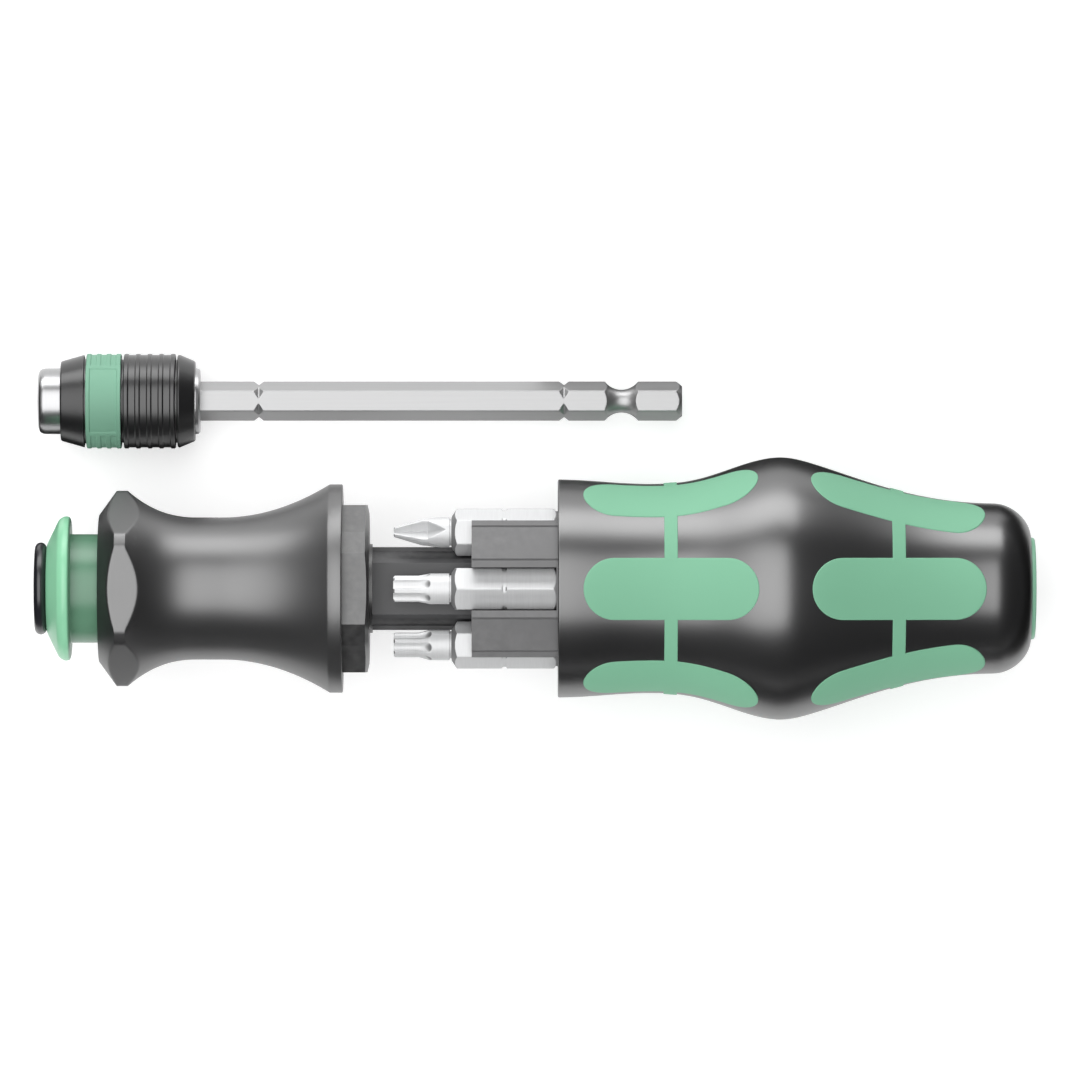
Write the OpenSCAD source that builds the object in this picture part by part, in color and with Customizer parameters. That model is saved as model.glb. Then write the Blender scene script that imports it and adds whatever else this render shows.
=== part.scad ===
// Bit holder screwdriver: a handle whose spring-loaded magazine stands out, and its loose bit-holding blade.
// The tool axis is X, with the nose of the handle at the origin. +Z looks at the side that lies up.

/* [Handle shell] */
// Length of the rear shell, without its button
shell_len = 72.8; // [70:0.2:80]
// Radius at the mouth of the shell
shell_mouth_r = 16.8; // [16.6:0.1:18]
// Radius at the waist
shell_waist_r = 16.1; // [16:0.1:17.5]
// Waist behind the mouth
shell_waist_at = 14.2; // [10:0.2:18]
// Radius of the palm bulge
shell_bulge_r = 20.2; // [19:0.1:22]
// Bulge behind the mouth
shell_bulge_at = 34.8; // [30:0.2:38]
// Radius where the end starts to round
shell_tail_r = 13.1; // [12.5:0.1:15]
// Length of the rounded end
shell_round_len = 5.3; // [4:0.1:7]
// Smallest wall between the bay and the outside
shell_wall = 0.95; // [0.7:0.05:1.0]

/* [Soft zones] */
// Length of one soft capsule
zone_len = 26.8; // [20:0.2:28]
// Width of one soft capsule
zone_w = 9.5; // [6:0.1:12]
// Front end of the forward capsules, behind the mouth
zone_front_at = 3.9; // [3:0.1:6]
// Front end of the rear capsules, behind the mouth
zone_rear_at = 38.8; // [37:0.1:41]
// Width of the soft rings
zone_ring_w = 2.05; // [1:0.05:4]
// Depth of the soft material
zone_depth = 0.5; // [0.3:0.05:0.6]
// How far the soft material stands proud of the shell
zone_proud = 0.12; // [0.1:0.02:0.3]

/* [Magazine] */
// How far the magazine travels
magazine_travel = 33; // [32:0.5:36]
// Radius of the circle on which the bits lie
bit_circle_r = 10; // [9.8:0.1:10.2]
// Distance of the fins' outer flats from the axis
fin_flat_r = 14.55; // [14.3:0.05:14.7]
// Half width over the two side fins, which end level with the outer bits
side_fin_reach = 11.9; // [11:0.1:12.2]
// Distance from the axis of the narrow lands on both sides of a bit
land_r = 14.3; // [14.2:0.02:14.3]
// Width of such a land
land_w = 1.2; // [1:0.05:1.3]
// Width of the groove between a land and its fin
land_groove_w = 0.3; // [0.2:0.05:0.4]
// Depth of that groove below the land
land_groove_depth = 0.5; // [0.3:0.05:0.6]
// Length of the bit pockets
pocket_len = 13; // [9:0.5:15]
// Thickness of the wall behind the bits
pocket_base_t = 1.5; // [1.2:0.1:2]
// Length of the skirt that stays inside the shell
skirt_len = 10.2; // [8:0.2:11]
// Radius of the stem's round ends
stem_r = 6.2; // [6.1:0.02:6.28]
// Half width of the stem's face under a bit
stem_face_half_w = 3.96; // [3.4:0.02:4.1]
// Half width of the whole stem
stem_half_w = 6.38; // [6.2:0.02:6.4]
// Radius of the latch rod
rod_r = 2.9; // [2.6:0.1:3]
// Radius of the stop head on the latch rod
head_r = 4.2; // [4:0.1:4.3]
// Length of the stop head
head_len = 2.4; // [2:0.1:3]
// Thickness of the guide plate
plate_t = 2.5; // [2:0.1:3]
// Wire of the ejector spring
ejector_wire = 0.8; // [0.6:0.05:0.85]
// Turns of the ejector spring
ejector_turns = 12; // [8:1:12]

/* [Release button] */
// Radius of the button
button_r = 7.85; // [7.4:0.05:8]
// How far the button stands proud of the shell
button_proud = 0.65; // [0.3:0.05:1.2]
// Thickness of the button's face
button_face_t = 1.1; // [0.8:0.05:1.3]
// Travel of the button
button_travel = 1.8; // [1.5:0.1:2]
// Thickness of the latch plate
latch_t = 1.6; // [1.2:0.1:2]
// Width of the latch plate
latch_w = 11; // [10:0.5:12]

/* [Front grip] */
// Front face of the grip behind the nose
grip_front_at = 9.9; // [9.5:0.1:11]
// Length of the grip
grip_len = 37.5; // [36:0.5:42]
// Radius of the grip's front face
grip_face_r = 11.3; // [10.5:0.1:12]
// Radius of the grip's ridge
grip_ridge_r = 15.05; // [14:0.05:15.8]
// Length of the cone that rises to the ridge
grip_cone_len = 2.7; // [2:0.1:4]
// Length of the ridge
grip_ridge_len = 1.7; // [1:0.1:3]
// Distance of the ridge's six flats from the axis
grip_flat_r = 13.55; // [13:0.05:14.8]
// Radius of the grip's waist
grip_waist_r = 10.95; // [10.5:0.05:12]
// Radius of the grip's rear flange
grip_flange_r = 16.05; // [15.5:0.05:16.6]
// Thickness of the rear flange
grip_flange_t = 2; // [1.5:0.1:3]
// Length of the twelve-sided key behind the grip
key_len = 4.1; // [3:0.1:5]
// Half width of the key across its side flats
key_half_w = 12.86; // [12:0.02:13]

/* [Quick-release collar] */
// Radius of the nose ring
nose_ring_r = 7.1; // [6.6:0.05:7.4]
// Thickness of the nose ring
nose_ring_t = 1.8; // [1.4:0.1:2.2]
// Radius of the collar's rim
collar_rim_r = 11.1; // [10:0.05:12]
// Length of the collar's flared head
collar_head_len = 3.7; // [3:0.1:3.9]
// Radius of the collar's tube
collar_tube_r = 8.36; // [8:0.02:8.8]
// Travel of the collar
collar_travel = 3; // [2.5:0.1:3.5]
// Radius of the socket tube
socket_r = 4.3; // [4.2:0.05:4.5]
// Length of the socket tube
socket_len = 23; // [20:0.5:26]
// Radius of a lock ball
lock_ball_r = 1.2; // [1.1:0.02:1.25]
// How far a lock ball reaches into the socket
lock_ball_reach = 0.55; // [0.4:0.05:0.6]
// Radial movement of a lock ball for each millimetre of collar travel
collar_ramp = 0.2; // [0.19:0.01:0.22]

/* [Blade] */
// Distance between the handle's axis and the blade's axis
blade_offset = 29; // [28:0.5:60]
// Blade shank across its flats
shank_af = 5.33; // [5:0.01:5.4]
// Length of the bare shank behind the chuck
shank_len = 74.7; // [60:0.1:75.5]
// Length of the whole chuck
chuck_len = 25.1; // [25:0.1:28]
// First notch behind the chuck
notch_near_at = 9.1; // [8.5:0.1:11]
// Second notch behind the chuck
notch_far_at = 56.4; // [40:0.1:58]
// Depth of the notches below the corners
notch_depth = 0.55; // [0.3:0.05:0.6]
// Waist radius of the drive groove
drive_waist_r = 1.77; // [1.5:0.01:2.2]
// Width of the drive groove
drive_w = 5.2; // [4:0.1:6]
// Centre of the drive groove from the blade's end
drive_at = 9.4; // [8:0.1:12]

/* [Chuck] */
// Radius of the steel barrel
barrel_r = 5.1; // [5.05:0.01:5.2]
// How far the barrel stands out of the sleeve
barrel_nose = 3.5; // [3.2:0.1:4]
// Radius over the ribs of the chuck
sleeve_r = 7.35; // [7.3:0.05:7.8]
// Radius of the sleeve at its front
sleeve_front_r = 6.15; // [6:0.05:6.6]
// Length of the sleeve
sleeve_len = 9.5; // [9.2:0.1:9.6]
// Travel of the sleeve
sleeve_travel = 2; // [1.6:0.1:2.2]
// Width of the soft band
band_w = 5.4; // [4:0.1:5.6]
// Thickness of the soft band under its ribs
band_t = 0.4; // [0.3:0.05:0.5]
// Half width of the plain pad on the soft band
pad_half_w = 5.6; // [3:0.1:6]
// Length of the ribbed ring
ring_len = 8; // [6:0.1:8.3]
// Number of ribs on the ring
ring_ribs = 5; // [3:1:6]
// Width of a rib on the ring
rib_w = 0.8; // [0.5:0.05:1]
// Depth of the valleys between the ribs
rib_h = 0.17; // [0.1:0.01:0.3]
// Radius of a chuck ball
chuck_ball_r = 1; // [0.9:0.02:1.05]
// Radial movement of a chuck ball for each millimetre of sleeve travel
sleeve_ramp = 0.25; // [0.24:0.01:0.26]
// Depth of the bit socket down to the magnet
bit_socket_depth = 9.5; // [9:0.1:10]
// Travel of the magnet
magnet_travel = 3; // [2:0.1:3.2]
// Radius of the magnet
magnet_r = 2.2; // [1.8:0.05:2.4]

/* [Bits] */
// Bits across their flats
bit_af = 6.35; // [6.3:0.01:6.4]
// Length of a bit
bit_len = 25; // [24:0.1:26]
// Where the hexagon of a bit starts behind its tip
bit_hex_at = 8.9; // [8:0.1:11]
// Radius of a bit's round neck
bit_neck_r = 2.35; // [2:0.05:2.5]

/* [Clearances] */
// Between pieces that slide or turn on each other
slide_gap = 0.1; // [0.06:0.01:0.12]
// Between pieces that only pass each other
free_gap = 0.3; // [0.2:0.05:0.35]
// Across the flats between a hexagon and its socket
hex_gap = 0.12; // [0.08:0.01:0.16]

/* [Hidden] */
$fn = 72;
tiny = 0.01;
steps = 12;
coil_rings = 8;
edge_cut = 0.3;
hair = 0.05;

// Places along the tool axis, from the nose backwards
grip_back = grip_front_at + grip_len;
key_back = grip_back + key_len;
shell_front = grip_back + magazine_travel + slide_gap;
shell_end = shell_front + shell_len;
shell_tail = shell_end - shell_round_len;
shell_waist = shell_front + shell_waist_at;
shell_bulge = shell_front + shell_bulge_at;
base_face = shell_front - 2 * slide_gap;
base_back = base_face + pocket_base_t;
skirt_back = base_back + skirt_len;
pocket_front = base_face - pocket_len;
bit_tip = base_face - bit_len;
plate_front = skirt_back + magazine_travel + 1;
plate_back = plate_front + plate_t;
washer_t = 0.5;
washer_r = stem_r + 0.65;

// The latch works from the end of the shell forwards
button_face = shell_end + button_proud;
head_front_shut = button_face - button_face_t - button_travel - 1.5 * free_gap - head_len;
head_front = head_front_shut - magazine_travel;
head_back = head_front + head_len;
latch_back = head_front_shut - free_gap;
latch_front = latch_back - latch_t;
end_wall = latch_back + free_gap;
latch_hole_r = head_r + 0.2;
latch_shift = latch_hole_r - rod_r - slide_gap;
latch_rise = latch_shift / button_travel;
frame_t = 4;
frame_back = latch_front - slide_gap;
frame_front = frame_back - frame_t;
latch_wire = 0.3;
latch_coil_r = (end_wall - frame_back - free_gap - latch_wire) / 2;
latch_turns = 4;
latch_tip_y = 7.6;
latch_tail_y = -6.5;
button_flange_r = button_r + 0.95;
button_flange_t = 1.4;
button_step = latch_back + button_travel + button_flange_t + free_gap + slide_gap;

// The guide tube reaches forward inside the ejector spring, ahead of the stop head's seat
guide_step = head_front - 2 * slide_gap;
guide_land = 4;
guide_bore_r = head_r + 0.4;
guide_wall = 1;
guide_tube_r = guide_bore_r + guide_wall;
guide_tip_r = guide_bore_r + 0.6 * guide_wall;
guide_shoulder = base_face + magazine_travel + free_gap;
guide_tip = min(guide_step - guide_land, guide_shoulder - 2.6);
stem_cavity_at = guide_tip - magazine_travel - 1.5 * free_gap;
stem_bore_end = stem_cavity_at - 2;
stem_cavity_r = guide_tip_r + free_gap;
stem_front = grip_front_at + 13.6;
stud_r = 1.8;
stud_len = 1.6;

// Bay and fins
bay_r = shell_waist_r - shell_wall;
bay_flat_r = fin_flat_r + 0.2;
fin_corner_r = bay_r - 0.2;
skirt_bore_r = guide_tube_r + 2.4;
base_bore_r = guide_tube_r + 0.4;
ejector_r = skirt_bore_r - 0.5 - ejector_wire;
chamber_r = shell_tail_r - 2.1;

// Collar, balls and socket
socket_af = shank_af + hex_gap;
ball_x = notch_near_at;
ball_y = socket_af / 2 - lock_ball_reach + lock_ball_r;
collar_front = nose_ring_t + hair;
collar_rim_back = collar_front + collar_head_len;
collar_back = grip_front_at + 1.3;
collar_seat_r = ball_y + (lock_ball_r + hair / 2) * sqrt(1 + collar_ramp * collar_ramp);
collar_bore_r = socket_r + slide_gap;
collar_ramp_front = ball_x - collar_travel - 1.1;
collar_ramp_back = ball_x + (collar_seat_r - collar_bore_r) / collar_ramp;
grip_recess_r = collar_tube_r + free_gap;
grip_recess_back = collar_back + collar_travel + 4.2;
collar_wire = 0.6;
collar_turns = 5;
collar_coil_r = (grip_recess_r + socket_r) / 2 - collar_wire;

// Blade
blade_z = sleeve_r - shell_bulge_r;
shank_end = chuck_len + shank_len;
shank_ac = shank_af / cos(30);
drive_arc_r = (drive_w * drive_w / 4 + pow(shank_ac / 2 - drive_waist_r, 2))
    / (2 * (shank_ac / 2 - drive_waist_r));
sleeve_back = barrel_nose + sleeve_len;
band_back = sleeve_back - slide_gap;
band_front = band_back - band_w;
band_seat_r = sleeve_r - band_t - hair;
groove_w = 0.2;
sleeve_groove_r = sleeve_r - 0.8;
band_rib_h = 0.13;
pad_frame = 0.55;
ring_front = sleeve_back + free_gap;
ring_back = ring_front + ring_len;
cap_front = ring_back + free_gap;
washer_front = chuck_len - 0.6;
cap_back = washer_front - 0.15;
bit_socket_af = bit_af + hex_gap - 0.02;
chuck_ball_x = barrel_nose + 1.5;
chuck_ball_y = bit_socket_af / (2 * cos(30)) - 0.42 + chuck_ball_r;
sleeve_seat_r = chuck_ball_y + (chuck_ball_r + hair / 2) * sqrt(1 + sleeve_ramp * sleeve_ramp);
sleeve_bore_r = barrel_r + slide_gap;
sleeve_ramp_front = chuck_ball_x - (sleeve_seat_r - sleeve_bore_r) / sleeve_ramp;
sleeve_ramp_back = chuck_ball_x + sleeve_travel + 0.4;
clip_front = sleeve_ramp_back + 0.15;
clip_t = 0.6;
clip_r = barrel_r + 0.95;
sleeve_chamber_r = clip_r + 0.15;
sleeve_lip_t = 0.6;
sleeve_wire = 0.45;
sleeve_turns = 4;
sleeve_coil_r = (barrel_r + slide_gap + sleeve_wire / 2) / cos(180 / coil_rings);
magnet_bore_r = magnet_r + 0.75;
cup_len = 3.2;
cup_wall = 0.6;
shank_front = chuck_len - 5.1;
magnet_wire = 0.4;
magnet_turns = 6;
magnet_coil_r = magnet_bore_r - slide_gap - magnet_wire;

// Bits
bit_ac = bit_af / cos(30);
bit_spin = [0, 30, 30, 0, 30, 30];
pocket_floor_r = bit_ac / 2 + 2 * hex_gap;
bit_notch_at = 8;

black = [0.11, 0.115, 0.125];
charcoal = [0.19, 0.2, 0.21];
green = [0.47, 0.73, 0.6];
deep_green = [0.36, 0.65, 0.51];
steel = [0.76, 0.78, 0.79];
grey = [0.42, 0.44, 0.46];

// Rises from 0 to 1 with level ends; lead below 1 starts the rise early, drag above 1 holds it back
function ease(t, lead, drag) = pow((1 - cos(180 * pow(t, lead))) / 2, drag);
function mix(a, b, f) = a + (b - a) * f;
function stretch(from, to, count) = [for (i = [0 : count]) from + (to - from) * i / count];
function after(list) = [for (i = [1 : len(list) - 1]) list[i]];

// Outer radius of the shell at a place along the axis, without the rounded end
function shell_r(x) =
    let (s = x - shell_front, tail = shell_tail - shell_front)
    s < shell_waist_at ? mix(shell_mouth_r, shell_waist_r, ease(s / shell_waist_at, 1, 1)) :
    s < shell_bulge_at ? mix(shell_waist_r, shell_bulge_r,
        ease((s - shell_waist_at) / (shell_bulge_at - shell_waist_at), 1, 1.4)) :
    mix(shell_bulge_r, shell_tail_r, ease(min(1, (s - shell_bulge_at) / (tail - shell_bulge_at)), 0.7, 1));

// The rounded end is a flattened quarter oval between the tail and the button's hole
function end_point(a) = [
    shell_tail + shell_round_len * pow(sin(a), 1.18),
    mix(button_r + 0.45, shell_tail_r, pow(cos(a), 1.18))
];

shell_outline = concat(
    [for (x = stretch(shell_front, shell_waist, 6)) [x, shell_r(x)]],
    [for (x = after(stretch(shell_waist, shell_bulge, steps))) [x, shell_r(x)]],
    [for (x = after(stretch(shell_bulge, shell_tail, steps))) [x, shell_r(x)]],
    [for (a = [15 : 15 : 90]) end_point(a)]
);

// Outline of the front grip: cone, ridge, hollow waist and flange
grip_ridge_at = grip_front_at + grip_cone_len;
grip_hollow_at = grip_ridge_at + grip_ridge_len;
grip_waist_front = grip_front_at + 15.2;
grip_waist_back = grip_front_at + 18.9;
grip_flange_at = grip_back - grip_flange_t;
function grip_fall(x) = mix(grip_ridge_r, grip_waist_r,
    1 - pow(1 - (x - grip_hollow_at) / (grip_waist_front - grip_hollow_at), 2.3));
function grip_rise(x) = mix(grip_waist_r, grip_flange_r,
    pow((x - grip_waist_back) / (grip_flange_at - grip_waist_back), 2));
grip_outline = concat(
    [[grip_front_at, 0], [grip_front_at, grip_face_r], [grip_ridge_at, grip_ridge_r]],
    [for (x = stretch(grip_hollow_at, grip_waist_front, steps)) [x, grip_fall(x)]],
    [for (x = stretch(grip_waist_back, grip_flange_at, steps)) [x, grip_rise(x)]],
    [[grip_back - 0.2, grip_flange_r], [grip_back, grip_flange_r - 0.2], [grip_back, 0]]
);

// A solid turned about the tool axis from [place, radius] points
module turned(points) {
    rotate([0, 90, 0])
        rotate_extrude()
            polygon([for (p = points) [p[1], p[0]]]);
}

// A rod along the tool axis
module rod(r, from, to) {
    translate([from, 0, 0])
        rotate([0, 90, 0])
            cylinder(r = r, h = to - from);
}

// A hexagonal rod with corners up and down; a spin of 30 turns its flats there
module hex_rod(af, from, to, spin = 0) {
    rotate([spin, 0, 0])
        translate([from, 0, 0])
            rotate([0, 90, 0])
                cylinder(r = af / 2 / cos(30), h = to - from, $fn = 6);
}

// Mirrors the corners of one quarter of a section into the other three
function back_to_front(list) = [for (i = [len(list) - 1 : -1 : 0]) list[i]];
function four_ways(quarter) =
    let (half = concat(quarter, [for (p = back_to_front(quarter)) [-p[0], p[1]]]))
        concat(half, [for (p = back_to_front(half)) [p[0], -p[1]]]);

// A round body with six flats turned half a step from the bits
module flatted_rod(r, flat_r, from, to) {
    intersection() {
        rod(r, from, to);
        hex_rod(2 * flat_r, from - 1, to + 1);
    }
}

// An open wire coil along the tool axis, one tube with the same number of rings to each turn
function coil_centre(r, wire, from, to, turns, k) =
    let (part = k / (coil_rings * turns), turn = 360 * k / coil_rings)
    [from + wire / 2 + (to - from - wire) * part, r * sin(turn), r * cos(turn)];
function coil_gap(r, wire, from, to, turns) = min([
    for (k = [0 : coil_rings * (turns - 1)]) norm(coil_centre(r, wire, from, to, turns, k)
        - coil_centre(r, wire, from, to, turns, k + coil_rings)) - wire
]);
module coil(r, wire, from, to, turns) {
    last = coil_rings * turns;
    points = [
        for (k = [0 : last]) for (j = [0 : 5])
            let (turn = 360 * k / coil_rings)
                coil_centre(r, wire, from, to, turns, k)
                    + wire / 2 * [sin(60 * j), cos(60 * j) * sin(turn), cos(60 * j) * cos(turn)]
    ];
    sides = [
        for (k = [0 : last - 1]) for (j = [0 : 5])
            let (a = 6 * k + j, b = 6 * k + (j + 1) % 6)
                each [[a, b, a + 6], [b, b + 6, a + 6]]
    ];
    front = [for (j = [1 : 4]) [0, j + 1, j]];
    back = [for (j = [1 : 4]) [6 * last, 6 * last + j, 6 * last + j + 1]];
    polyhedron(points, concat(sides, front, back));
    echo(least_gap = coil_gap(r, wire, from, to, turns));
}

// Places a child at bit pocket number i, counted from the top towards +Y
module at_pocket(i) {
    rotate([-60 * i, 0, 0])
        translate([0, 0, bit_circle_r])
            children();
}

module at_blade() {
    translate([0, blade_offset, blade_z])
        children();
}

// Six capsules and the ring that joins them, as a cutter that reaches from the axis outwards
module zone_cutter(from) {
    end_r = zone_w / 2;
    for (i = [0 : 5])
        rotate([-60 * i, 0, 0]) {
            translate([from + end_r, -end_r, 0])
                cube([zone_len - zone_w, zone_w, shell_bulge_r + 5]);
            for (x = [from + end_r, from + zone_len - end_r])
                translate([x, 0, 0])
                    cylinder(r = end_r, h = shell_bulge_r + 5);
        }
    rod(shell_bulge_r + 5, from + zone_len / 2 - zone_ring_w / 2, from + zone_len / 2 + zone_ring_w / 2);
}

// The skin of the shell between two places, as deep as the soft material
module shell_skin(from, to) {
    outer = [for (x = stretch(from, to, steps)) [x, shell_r(x) + zone_proud]];
    inner = [for (x = stretch(to, from, steps)) [x, shell_r(x) - zone_depth]];
    turned(concat(outer, inner));
}

module soft_band(from) {
    color(green)
        intersection() {
            shell_skin(from - tiny, from + zone_len + tiny);
            zone_cutter(from);
        }
}

module soft_band_front() {
    soft_band(shell_front + zone_front_at);
}

module soft_band_rear() {
    soft_band(shell_front + zone_rear_at);
}

module handle_shell() {
    color(black)
        difference() {
            turned(concat([[shell_front, 0]], shell_outline, [[shell_end, 0]]));
            flatted_rod(bay_r, bay_flat_r, shell_front - 1, plate_back);
            rod(chamber_r, plate_back - tiny, end_wall);
            rod(button_flange_r + 0.2, end_wall - tiny, button_step);
            rod(button_r + 0.2, button_step - tiny, shell_end + 1);
            soft_band_front();
            soft_band_rear();
        }
}

// Bulkhead with the tube in which the stop head runs
module guide_plate() {
    color(charcoal)
        difference() {
            union() {
                flatted_rod(bay_r - 0.1, bay_flat_r - 0.1, plate_front, plate_back);
                rod(guide_tube_r, guide_shoulder, plate_front + tiny);
                rod(guide_tip_r, guide_tip, guide_shoulder + tiny);
            }
            rod(rod_r + slide_gap, guide_tip - 1, guide_step);
            rod(guide_bore_r, guide_step, plate_back + 1);
        }
}

module ejector_spring() {
    color(steel)
        coil(ejector_r, ejector_wire, base_back + slide_gap, plate_front - slide_gap, ejector_turns);
}

// Disc that carries the sliding latch plate
module latch_frame() {
    color(charcoal)
        difference() {
            rod(chamber_r - slide_gap, frame_front, frame_back);
            rod(head_r + 0.4, frame_front - 1, frame_back + 1);
            translate([frame_back - button_travel - 1, latch_tip_y - 2.2, -3])
                cube([button_travel + 2, 3.4, 6]);
        }
}

// The latch plate with its hole off centre, so that its edge holds the stop head
module latch_plate() {
    color(steel)
        difference() {
            translate([0, 0, -latch_w / 2])
                linear_extrude(latch_w)
                    polygon([
                        [latch_front, latch_tail_y], [latch_back, latch_tail_y],
                        [latch_back, latch_tip_y - latch_rise * latch_t], [latch_front, latch_tip_y]
                    ]);
            translate([0, latch_shift, 0])
                rod(latch_hole_r, latch_front - 1, latch_back + 1);
        }
}

module latch_spring() {
    color(steel)
        translate([(end_wall + frame_back) / 2, latch_tail_y - slide_gap, 0])
            rotate([0, 0, -90])
                coil(latch_coil_r, latch_wire, 0, chamber_r + latch_tail_y - 2 * slide_gap, latch_turns);
}

// Green end button: face, skirt with its retaining flange, and the tongue that works the latch
module release_button() {
    wedge_front = latch_front + 0.4;
    wedge_gap = 0.15;
    wedge_top = latch_tip_y + wedge_gap;
    skirt_end = button_step - slide_gap - button_flange_t;
    color(deep_green) {
        difference() {
            turned([
                [skirt_end, 0], [skirt_end, button_flange_r], [button_step - slide_gap, button_flange_r],
                [button_step - slide_gap, button_r], [button_face - 0.45, button_r],
                [button_face - 0.13, button_r - 0.13], [button_face, button_r - 0.45], [button_face, 0]
            ]);
            rod(button_r - 1.4, skirt_end - 1, button_face - button_face_t);
        }
        intersection() {
            translate([0, 0, -2])
                linear_extrude(4)
                    polygon([
                        [wedge_front, wedge_top - latch_rise * (wedge_front - latch_front)],
                        [wedge_front, latch_tip_y + 0.3], [skirt_end + 1, latch_tip_y + 0.3],
                        [skirt_end + 1, button_r - 1.9], [skirt_end - 0.3, button_r - 1.9],
                        [latch_front + (wedge_top - button_r + 1.9) / latch_rise, button_r - 1.9]
                    ]);
            rod(button_r + 0.05, wedge_front - 1, skirt_end + 1);
        }
    }
}

module front_grip() {
    color(charcoal)
        difference() {
            intersection() {
                turned(grip_outline);
                union() {
                    hex_rod(2 * grip_flat_r, grip_front_at - 1, grip_waist_back, 30);
                    rod(grip_flange_r + 1, grip_waist_front + 1, grip_back + 1);
                }
            }
            rod(grip_recess_r, grip_front_at - 1, grip_recess_back);
            rod(socket_r, grip_recess_back - tiny, stem_front);
            rod(stem_r, stem_front - tiny, grip_back + 1);
        }
}

// Twelve-sided key: four broad flats with two narrow ones between each pair
module key_flange() {
    quarter = [[key_half_w, 6.16], [8.67, 11.09], [5.44, key_half_w + 0.23]];
    reach = norm(quarter[0]);
    color(black)
        difference() {
            intersection() {
                translate([grip_back, 0, 0])
                    rotate([90, 0, 90])
                        linear_extrude(key_len)
                            polygon(four_ways(quarter));
                turned([
                    [grip_back - 1, 0], [grip_back - 1, reach + 1], [key_back - 0.6, reach + 0.1],
                    [key_back, reach - 2.6], [key_back, 0]
                ]);
            }
            rod(stem_r, grip_back - 1, key_back + 1);
        }
}

module stem_washer() {
    color(black)
        difference() {
            rod(washer_r, key_back, key_back + washer_t);
            rod(stem_r, key_back - 1, key_back + washer_t + 1);
        }
}

// Tube down the middle of the magazine, with the blade's hexagonal bore and a lobed stretch between the bits
module stem() {
    edge = stem_face_half_w + 0.64;
    quarter = [
        [stem_half_w, 2.4], [edge + 0.76, 2.4], [edge + 0.76, 2], [edge, 2],
        [edge, stem_r - 0.65], [stem_face_half_w, stem_r]
    ];
    color(grey)
        difference() {
            union() {
                rod(stem_r, stem_front, base_face);
                translate([key_back + washer_t, 0, 0])
                    rotate([90, 0, 90])
                        linear_extrude(pocket_front - key_back - washer_t)
                            polygon(four_ways(quarter));
            }
            hex_rod(socket_af, stem_front - 1, stem_bore_end, 30);
            rod(stem_cavity_r, stem_cavity_at, base_face + 1);
            rod(stud_r, stem_cavity_at - stud_len, stem_cavity_at + 1);
        }
}

// Six fins with the bit pockets between them, the wall behind the bits and the sliding skirt. The fins' edges
// beside a bit are flattened into narrow lands.
// The two fins at the sides are cut level with the bits beside them.
module bit_holder() {
    mouth_z = fin_flat_r - bit_circle_r + 1.5;
    color(grey)
        difference() {
            flatted_rod(fin_corner_r, fin_flat_r, pocket_front, skirt_back);
            rod(stem_r, pocket_front - 1, base_face);
            rod(base_bore_r, base_face - tiny, base_back + 1);
            rod(skirt_bore_r, base_back, skirt_back + 1);
            for (i = [0 : 5])
                at_pocket(i) {
                    half_w = (bit_spin[i] == 0 ? bit_af : bit_ac) / 2 + hex_gap;
                    rod(pocket_floor_r, pocket_front - 1, base_face);
                    translate([pocket_front - 1, 0, 0])
                        rotate([90, 0, 90])
                            linear_extrude(pocket_len + 1)
                                polygon([
                                    [-half_w, 0], [half_w, 0], [half_w, mouth_z], [-half_w, mouth_z]
                                ]);
                    // the cuts outside the pockets end a little behind the base's face, each in its own plane
                    translate([pocket_front - 1, -half_w - land_w, land_r - bit_circle_r])
                        cube([pocket_len + 1.2, 2 * (half_w + land_w), 2]);
                    for (side = [-1, 1])
                        translate([
                            pocket_front - 1, side * (half_w + land_w) - land_groove_w / 2,
                            land_r - bit_circle_r - land_groove_depth
                        ])
                            cube([pocket_len + 1.3, land_groove_w, 3]);
                }
            for (side = [-1, 1])
                translate([pocket_front - 1, side > 0 ? side_fin_reach : -side_fin_reach - 4, -fin_corner_r])
                    cube([pocket_len + 1.4, 4, 2 * fin_corner_r]);
        }
}

module latch_rod() {
    color(steel)
        union() {
            rod(stud_r, stem_cavity_at - stud_len, stem_cavity_at + tiny);
            rod(rod_r, stem_cavity_at, head_front);
            rod(stud_r, head_front - tiny, head_back - 0.5);
        }
}

module stop_head() {
    color(steel)
        difference() {
            turned([
                [head_front, 0], [head_front, head_r], [head_back - 0.8, head_r],
                [head_back, head_r - 0.8], [head_back, 0]
            ]);
            rod(stud_r, head_front - 1, head_back - 0.5);
        }
}

// Steel socket with the hexagonal bore and the two radial ball holes
module socket_tube() {
    color(steel)
        difference() {
            turned([
                [0, 0], [0, socket_r - edge_cut], [edge_cut, socket_r],
                [socket_len, socket_r], [socket_len, 0]
            ]);
            hex_rod(socket_af, -1, socket_len + 1, 30);
            for (side = [-1, 1])
                translate([ball_x, 0, 0])
                    rotate([side * 90, 0, 0])
                        cylinder(r = lock_ball_r + slide_gap / 2, h = socket_r + 1);
        }
}

module nose_ring() {
    round = nose_ring_t / 2;
    color(black)
        difference() {
            turned(concat(
                [[0, 0]],
                [for (a = [0 : 15 : 180]) [round - round * cos(a), nose_ring_r - round + round * sin(a)]],
                [[nose_ring_t, 0]]
            ));
            rod(socket_r, -1, nose_ring_t + 1);
        }
}

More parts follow.
